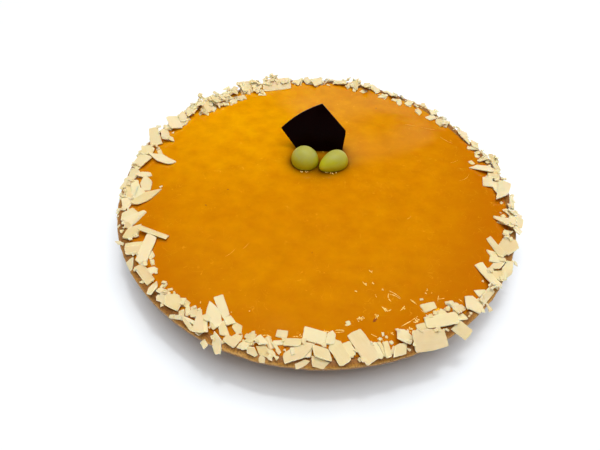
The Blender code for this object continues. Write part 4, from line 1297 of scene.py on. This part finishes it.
def thicken(piece, materials, thickness, bevel):
    """Gives flat plates their thickness, the first material on their faces, the second on rims."""
    for material in materials:
        piece.data.materials.append(material)
    select_only(piece)
    apply_modifier(piece, "SOLIDIFY", thickness=thickness, offset=1.0, material_offset_rim=1)
    if bevel:
        apply_modifier(piece, "BEVEL", width=bevel, segments=1, material=1, limit_method="ANGLE",
                       angle_limit=math.radians(50))


LARGE_FROM = 0.009
# Whether large, columns and rows of the grid, seed
PLATE_KINDS = (
    (True, (8, 4), 8),
    (False, (4, 2), 7),
)
shaving_pieces = {}
for owner in ("filling", "crust"):
    parts = []
    for is_large, grid, seed in PLATE_KINDS:
        chosen = [place for place in shavings
                  if place[0] == owner and (np.ptp(place[1], axis=0)[0] > LARGE_FROM) == is_large]
        parts.append(copy_plates("shavings", chosen, *unit_plate(*grid), seed))
    select_only(*parts)
    bpy.ops.object.join()
    piece = shaving_pieces[owner] = parts[0]
    piece.name = piece.data.name = "white_shavings_on_" + owner
    print(piece.name, len(piece.data.polygons), "flat faces before they get their thickness")

# %% [markdown]
# White chocolate is cocoa butter, milk and sugar: cream coloured, waxy, and a little translucent, so
# thin edges look brighter. The plane leaves fine parallel lines along each plate, a little under a
# millimetre apart, which the plate's own UV map carries, in metres. A tint for each plate keeps the
# heap from looking cast from one pot. The broken rim is rougher, and it is painted paler than the
# faces: painted light, for the glow that comes out through the thin edges.

# %% Material: white chocolate
def white_chocolate(name, light, dark, roughness, line_depth, glow):
    material, tree, shader = new_material(name, Roughness=roughness, IOR=1.46, Subsurface_Weight=0.8,
                                          Subsurface_Scale=glow, Subsurface_Radius=(1.0, 0.75, 0.45))
    tint = add_node(tree, "ShaderNodeVertexColor", layer_name="tint")
    draws = add_node(tree, "ShaderNodeSeparateColor", {"Color": tint.outputs["Color"]})
    grain = add_node(tree, "ShaderNodeUVMap", uv_map="grain")
    stretched = add_node(tree, "ShaderNodeMapping", {"Vector": grain.outputs["UV"],
                                                     "Scale": (0.12, 1.0, 1.0)})
    scrape = add_node(tree, "ShaderNodeTexNoise", {"Vector": stretched.outputs["Vector"],
                                                   "Scale": 1 / (0.9 * MM), "Detail": 3.0})
    place = add_node(tree, "ShaderNodeTexCoord").outputs["Object"]
    cloud = add_node(tree, "ShaderNodeTexNoise", {"Vector": place, "Scale": 1 / (6 * MM), "Detail": 3.0})
    mixed = add_node(tree, "ShaderNodeMath", {0: draws.outputs["Red"], 1: cloud.outputs["Fac"]})
    lined = add_node(tree, "ShaderNodeMath", {0: scrape.outputs["Fac"], 1: 0.5,
                                              2: mixed.outputs["Value"]}, operation="MULTIPLY_ADD")
    tone = add_node(tree, "ShaderNodeMapRange", {"Value": lined.outputs["Value"], "From Min": 0.4,
                                                 "From Max": 1.6})
    colour = add_node(tree, "ShaderNodeValToRGB", {"Fac": tone.outputs["Result"]},
                      stops=((0.0, paint(dark)), (1.0, paint(light))))
    hue = add_node(tree, "ShaderNodeValToRGB", {"Fac": draws.outputs["Green"]}, stops=(
        (0.0, paint("fffcee")), (0.35, paint("fffef6")), (0.70, paint("fffcf6")), (1.0, paint("fffaf4"))))
    tinted = add_node(tree, "ShaderNodeMix", {0: 1.0, MIX_A: colour.outputs["Color"],
                                              MIX_B: hue.outputs["Color"]},
                      data_type="RGBA", blend_type="MULTIPLY")
    bump = add_node(tree, "ShaderNodeBump", {"Height": scrape.outputs["Fac"], "Strength": 0.5,
                                             "Distance": line_depth})
    tree.links.new(tinted.outputs[MIX_COLOUR], shader.inputs["Base Color"])
    tree.links.new(bump.outputs["Normal"], shader.inputs["Normal"])
    return material


planed = white_chocolate("white_chocolate_planed", "e4d7b2", "d8c393", 0.42, 0.2 * MM, 1.2 * MM)
# The rim's paler colours are painted light: the glow of light through the thin edges.
broken_rim_painted_glow = white_chocolate("white_chocolate_broken_painted_glow", "fff0cc", "fadcaa", 0.6, 0.1 * MM, 4 * MM)
for owner, slot, node in (("filling", "apricot_glaze", "apricot_filling"), ("crust", "baked_dough", "crust")):
    thicken(shaving_pieces[owner], (planed, broken_rim_painted_glow), SHAVING_THICKNESS, RIM_BEVEL)
    finish(shaving_pieces[owner], [], slot, node)
crumbs = copy_plates("white_chips", chips, *unit_plate(3, 2), seed=11)
thicken(crumbs, (planed, broken_rim_painted_glow), CHIP_THICKNESS, 0)
finish(crumbs, [], "apricot_glaze")

# %% [markdown]
# Where the brush was lifted, the glaze set in fine threads and drops that stand half out of the
# surface, most of them at the front right and in front of the grapes. The bright threads and the
# drops are painted paler than the jelly, a painted highlight for their sparkle, and the lamp makes
# them sparkle too. A few flecks of fruit show too. Curves with a round section could draw the
# threads, but their ends would be blunt. So each is one small closed bead, modelled once and copied:
# stretched along an arc, half sunk in the glaze.

# %% Threads, drops and flecks
# Threads: x, y, length and width in millimetres, heading and turn along the thread in degrees.
# Most rows here were worked out outside this script too, from places read off the photo by eye.
THREADS = (
    (-27.6, -121.3, 5.6, 0.60, -7, -90), (12.7, -116.8, 5.6, 0.60, 1, -25),
    (12.6, -118.2, 5.6, 0.50, 7, 20), (-11.8, -121.6, 3.9, 0.55, 2, -30),
    (5.5, -118.0, 3.1, 0.75, -7, 0), (46.0, -91.8, 10.0, 0.40, -34, -40),
    (46.4, -93.5, 7.6, 0.40, -27, -45), (42.3, -93.5, 3.6, 0.50, -103, 40),
    (42.8, -96.4, 2.8, 0.55, -55, 30), (34.9, -94.0, 2.5, 0.35, -74, 20),
    (56.7, -97.0, 5.2, 0.85, -44, 0), (50.0, -101.7, 4.5, 0.75, 49, 20),
    (38.9, -102.3, 4.2, 0.65, -58, -30), (41.7, -103.5, 3.6, 0.70, 18, 60),
    (52.9, -110.2, 13.0, 0.65, 33, 10), (31.8, -119.6, 3.6, 0.55, -26, 30),
    (35.4, -121.9, 3.4, 0.50, -1, -150), (73.6, -94.5, 5.0, 0.45, 10, 20),
    (71.8, -94.2, 4.4, 0.40, 72, -20), (85.2, -95.1, 3.1, 0.50, -49, -20),
    (61.4, -103.2, 3.3, 0.45, -42, 0), (28.7, -86.1, 4.0, 0.50, -51, 40),
)

# Faint ones at the back right and the front left, nearly of the jelly's colour
FAINT_THREADS = (
    (80.2, 73.6, 12.7, 0.45, -19, -20), (92.1, 69.8, 12.4, 0.40, -16, 20),
    (103.6, 55.6, 14.6, 0.40, -45, 25), (104.3, 27.9, 12.2, 0.35, 19, 60),
    (111.3, 10.9, 12.2, 0.35, 41, 70), (62.8, -31.5, 6.6, 0.30, 36, 60),
    (-53.8, -65.2, 10.6, 0.30, 51, 40), (-45.2, -59.6, 7.1, 0.30, 56, 30),
)

# Groups of drops: x, y and radius in millimetres, how many
DROP_GROUPS = (
    (33.8, -76.6, 1.5, 4), (28.8, -86.3, 1.2, 3), (33.7, -85.4, 0.4, 2), (23.1, -91.5, 0.3, 1),
    (39.1, -89.8, 0.5, 2), (34.5, -107.5, 1.4, 7), (25.2, -110.1, 2.6, 12), (56.4, -108.7, 2.0, 9),
    (52.9, -115.1, 2.3, 9), (41.7, -117.6, 1.2, 4), (50.1, -101.7, 0.9, 3), (40.4, -102.7, 1.2, 4),
    (66.6, -89.9, 2.6, 5), (76.0, -100.5, 0.9, 3), (-38.7, -106.7, 0.2, 1), (-49.7, -108.2, 1.0, 2),
    (-67.4, -101.5, 0.8, 2), (-8.8, -120.9, 0.7, 2), (15.9, -114.5, 1.5, 3), (4.5, -118.0, 1.0, 3),
    (-35.8, -122.1, 1.5, 3), (-11.4, 12.5, 0.9, 3), (-7.6, 12.0, 0.9, 4), (7.4, 11.4, 0.9, 3),
    (11.0, 10.2, 1.1, 5), (14.0, 10.5, 0.8, 3),
)

# Flecks of brown skin and one of yellow fruit: x, y, length and width in millimetres, heading, turn
BROWN_FLECKS = (
    (33.1, -109.8, 3.4, 1.7, 50, 0), (-63.5, -8.9, 1.6, 0.8, 30, 0), (-76.7, -25.2, 1.9, 0.7, -20, 0),
    (-3.0, -63.3, 1.2, 0.6, 60, 0), (51.6, 95.9, 1.8, 0.7, 35, 0), (12.3, 128.2, 1.0, 0.8, 0, 0),
)
YELLOW_FLECKS = ((70.4, -102.0, 3.6, 2.4, 20, 0),)


print(len(THREADS) + len(FAINT_THREADS), "threads and", sum(row[3] for row in DROP_GROUPS), "drops")

# %% [markdown]
# A drop is a thread too short to look like one, so one function lays both, and the flecks as well. A
# ray cast straight down finds the glaze's height under each, and a wave along it makes it lumpy.

# %% One bead and its copies
BEAD_SECTORS = 6
BEAD_RINGS = 12
DROP_SEED = 3
LUMPY = 0.35
DROP_LENGTHS = (0.0006, 0.0017)
DROP_WIDTHS = (0.00045, 0.0008)


def unit_bead():
    """A small closed sphere, modelled once: its points, with x along the bead, and its faces."""
    points, faces = take_apart(add_primitive(bpy.ops.mesh.primitive_uv_sphere_add, "bead",
                                             segments=BEAD_SECTORS, ring_count=BEAD_RINGS, radius=1.0))
    return points[:, [2, 0, 1]], faces


def draw_drops():
    """Rows like those of the threads for every drop in the groups."""
    dice = random.Random(DROP_SEED)
    for x, y, radius, count in DROP_GROUPS:
        for _ in range(count):
            away, bearing = radius * math.sqrt(dice.uniform(0, 1)), dice.uniform(0, math.tau)
            yield (x + away * math.cos(bearing), y + away * math.sin(bearing),
                   dice.uniform(*DROP_LENGTHS) / MM, dice.uniform(*DROP_WIDTHS) / MM,
                   dice.uniform(0, 180), dice.uniform(-60, 60))


def lay_beads(name, rows, flatness):
    """One mesh with a bent and stretched bead for each row, half sunk in the glaze."""
    unit, faces = unit_bead()
    dice = random.Random(DROP_SEED)
    points, every_face = [], []
    for x, y, length, width, heading, turn in rows:
        lumps = np.sin(unit[:, 0] * dice.uniform(2, 4) * length + dice.uniform(0, math.tau))
        width = width * (1 + LUMPY * lumps)
        bend = math.radians(turn)
        angle = math.radians(heading) + bend * unit[:, 0] / 2
        sway = (1 - np.cos(bend * unit[:, 0] / 2)) / (bend or 1.0) * length
        on_x, on_y = turned(unit[:, 0] * length / 2, sway, math.radians(heading))
        spot_x = x + on_x - np.sin(angle) * unit[:, 1] * width / 2
        spot_y = y + on_y + np.cos(angle) * unit[:, 1] * width / 2
        foot = filling.ray_cast(Vector((x * MM, y * MM, 0.1)), Vector((0, 0, -1)))[1]
        height = foot.z / MM + unit[:, 2] * width / 2 * flatness
        every_face += [tuple(corner + len(unit) * len(points) for corner in face) for face in faces]
        points.append(np.column_stack((spot_x, spot_y, height)) * MM)
    piece = put_together(name, points, every_face)
    select_only(piece)
    bpy.ops.object.mode_set(mode="EDIT")
    face_outwards()
    return piece


# %% [markdown]
# The set glaze of the threads and drops is a wet gel painted pale, which is a painted highlight, and
# a scrap of apricot skin is dull and brown. A noise of under a millimetre makes each one uneven.

# %% Materials: glaze with painted highlights, and fruit flecks
def wet_fruit(name, light, dark, roughness):
    material, tree, shader = new_material(name, Roughness=roughness, IOR=1.40)
    place = add_node(tree, "ShaderNodeTexCoord").outputs["Object"]
    cloud = add_node(tree, "ShaderNodeTexNoise", {"Vector": place, "Scale": 1 / (0.8 * MM), "Detail": 2.0})
    colour = add_node(tree, "ShaderNodeValToRGB", {"Fac": cloud.outputs["Fac"]},
                      stops=((0.40, paint(dark)), (0.60, paint(light))))
    tree.links.new(colour.outputs["Color"], shader.inputs["Base Color"])
    return material


for name, rows, flatness, tones in (
        ("faint_glaze_threads", FAINT_THREADS, 0.5, ("eeaa38", "e29828", 0.4)),
        # The pale colours of the threads and the drops are painted highlights.
        ("glaze_threads", THREADS, 0.9, ("ffe890", "f0a834", 0.05)),
        ("glaze_drops", tuple(draw_drops()), 0.9, ("ffeea4", "f2b03c", 0.05)),
        ("brown_fruit_flecks", BROWN_FLECKS, 0.25, ("9a4a02", "783200", 0.6)),
        ("yellow_fruit_fleck", YELLOW_FLECKS, 0.25, ("f0b400", "e4a000", 0.2))):
    finish(lay_beads(name, rows, flatness), [wet_fruit(name + "_set", *tones)], "apricot_glaze", sharp=80)

# %% [markdown]
# The grapes are whole green ones, sunk into the glaze while it was soft. A sphere is added and
# stretched, and one end of the right grape narrows, as its solid does. At the end that points
# away, the stem left a shallow dimple.

# %% The grapes
DIMPLE_DEPTH = 0.0007
DIMPLE_WIDTH = 0.10
GRAPE_BUMP = 0.006
GRAPE_BUMP_SIZE = 0.9


def make_grape(name, middle, half_length, half_width, turn, narrowing):
    grape = add_primitive(bpy.ops.mesh.primitive_uv_sphere_add, name,
                          segments=64, ring_count=40, radius=1.0)
    round_one = read_points(grape)
    across, up, along = round_one.T
    uneven_girth = 1 + GRAPE_BUMP * bumps(round_one, GRAPE_BUMP_SIZE, 2)
    girth = half_width * (1 + narrowing * along) * uneven_girth
    dimple = DIMPLE_DEPTH * np.exp(-((1 - along) / DIMPLE_WIDTH) ** 2)
    write_points(grape, np.column_stack((half_length * along - dimple, girth * across, girth * up)))
    bpy.ops.object.mode_set(mode="EDIT")
    face_outwards()
    grape.rotation_euler = (0, 0, turn)
    grape.location = middle
    bpy.ops.object.transform_apply(location=True, rotation=True, scale=True)
    return grape


# %% [markdown]
# A green grape's skin is thin and half clear over wet flesh, so light goes deep into it and comes
# back yellow-green. On top lies a bloom, a thin wax that scatters light, and its highlight is a soft
# streak. The colour goes by height, greyer and chalkier on top and a deeper yellow below: partly the
# bloom, and partly painted light, the top lit from above and the underside painted with the orange
# glow of the glaze. Faint veins run from end to end, drawn by a noise that a Mapping node turns with
# the grape and stretches along it.

# %% Material: green grape skin
VEIN_SHARE = 0.35
GRAPE_SHADING = {"From Min": -0.005, "From Max": 0.010}


def grape_skin(name, middle, turn):
    material, tree, shader = new_material(name, Roughness=0.42, IOR=1.42, Coat_Weight=0.12,
                                          Coat_Roughness=0.30, Subsurface_Weight=0.85,
                                          Subsurface_Scale=0.007, Subsurface_Radius=(1.0, 0.9, 0.25))
    place = add_node(tree, "ShaderNodeTexCoord").outputs["Object"]
    centred = add_node(tree, "ShaderNodeMapping", {"Vector": place, "Location": tuple(middle),
                                                   "Rotation": (0, 0, turn)}, vector_type="TEXTURE")
    stretched = add_node(tree, "ShaderNodeMapping", {"Vector": centred.outputs["Vector"],
                                                     "Scale": (0.25, 1.0, 1.0)})
    veins = add_node(tree, "ShaderNodeTexNoise", {"Vector": stretched.outputs["Vector"],
                                                  "Scale": 1 / (2.2 * MM), "Detail": 3.0})
    height = add_node(tree, "ShaderNodeSeparateXYZ", {0: centred.outputs["Vector"]})
    # Painted light in part: the colour changes with height, as light from above and the glaze's glow below
    # would change it.
    level = add_node(tree, "ShaderNodeMapRange", {"Value": height.outputs["Z"], **GRAPE_SHADING})
    wavering = add_node(tree, "ShaderNodeMath", {0: veins.outputs["Fac"], 1: VEIN_SHARE,
                                                 2: level.outputs["Result"]}, operation="MULTIPLY_ADD")
    colour = add_node(tree, "ShaderNodeValToRGB", {"Fac": wavering.outputs["Value"]}, stops=(
        (0.15, paint("c6b200")), (0.50, paint("beb202")), (0.80, paint("b0ab22")), (1.0, paint("aaa752"))))
    tree.links.new(colour.outputs["Color"], shader.inputs["Base Color"])
    return material


for name, (middle, half_length, half_width, turn, narrowing) in GRAPES.items():
    grape = make_grape(name + "_skin", middle, half_length, half_width, turn, narrowing)
    finish(grape, [grape_skin("green_" + name, middle, turn)], "grape_skin", name)

# %% [markdown]
# The plaque is a thin sheet of tempered dark chocolate, cut with one arched side and stood in the
# glaze with a lean of 20 degrees. Its outline starts as a filled circle with one corner for each
# corner of the sheet. Extruding gives it its thickness, and a small bevel the soft edge that the
# cutter leaves.

# %% The plaque
PLAQUE_LEAN = math.radians(20)
PLAQUE_DEPTH = 0.005
PLAQUE_LEFT = Vector((-0.0320, 0.0180))
PLAQUE_TOP = Vector((-0.0015, 0.0372))
PLAQUE_BULGE = 0.0021
PLAQUE_REST = ((0.0172, 0.0174), (0.0173, 0.0145), (0.0150, -PLAQUE_DEPTH), (-0.0148, -PLAQUE_DEPTH))
ARC_STEPS = 24


def plaque_outline():
    chord = PLAQUE_TOP - PLAQUE_LEFT
    outward = Vector((-chord.y, chord.x)).normalized()
    shares = [step / ARC_STEPS for step in range(ARC_STEPS + 1)]
    arc = [PLAQUE_LEFT + chord * s + outward * PLAQUE_BULGE * 4 * s * (1 - s) for s in shares]
    return arc + [Vector(corner) for corner in PLAQUE_REST]


def make_plaque():
    outline = plaque_outline()
    across = Vector((1, 0, 0))
    up = Vector((0, math.sin(PLAQUE_LEAN), math.cos(PLAQUE_LEAN)))
    back = across.cross(up) * -1
    plaque = add_primitive(bpy.ops.mesh.primitive_circle_add, "plaque_dark_chocolate",
                           vertices=len(outline), fill_type="NGON")
    places = [PLAQUE_FOOT + across * point.x + up * point.y for point in outline]
    write_points(plaque, np.array(places))
    bpy.ops.object.mode_set(mode="EDIT")
    bpy.ops.mesh.select_all(action="SELECT")
    bpy.ops.mesh.extrude_region_move(TRANSFORM_OT_translate={"value": tuple(back * PLAQUE_THICKNESS)})
    face_outwards()
    apply_modifier(plaque, "BEVEL", width=0.3 * MM, segments=3, limit_method="ANGLE",
                   angle_limit=math.radians(40))
    return plaque


# %% [markdown]
# Tempered dark chocolate is nearly black. Its satin skin mirrors little of a dark room, so its mirror
# share is kept small, and a faint cloudiness in its roughness, a few millimetres wide, shows in
# highlights only.

# %% Material: tempered dark chocolate
def tempered_dark_chocolate():
    material, tree, shader = new_material("tempered_dark_chocolate", IOR=1.46, Specular_IOR_Level=0.04)
    place = add_node(tree, "ShaderNodeTexCoord").outputs["Object"]
    cloud = add_node(tree, "ShaderNodeTexNoise", {"Vector": place, "Scale": 1 / (5 * MM), "Detail": 4.0})
    colour = add_node(tree, "ShaderNodeValToRGB", {"Fac": cloud.outputs["Fac"]},
                      stops=((0.35, paint("090000")), (0.65, paint("0d0000"))))
    gloss = add_node(tree, "ShaderNodeMapRange", {"Value": cloud.outputs["Fac"], "To Min": 0.26,
                                                  "To Max": 0.40})
    tree.links.new(colour.outputs["Color"], shader.inputs["Base Color"])
    tree.links.new(gloss.outputs["Result"], shader.inputs["Roughness"])
    return material


finish(make_plaque(), [tempered_dark_chocolate()], "dark_chocolate", "chocolate_plaque")
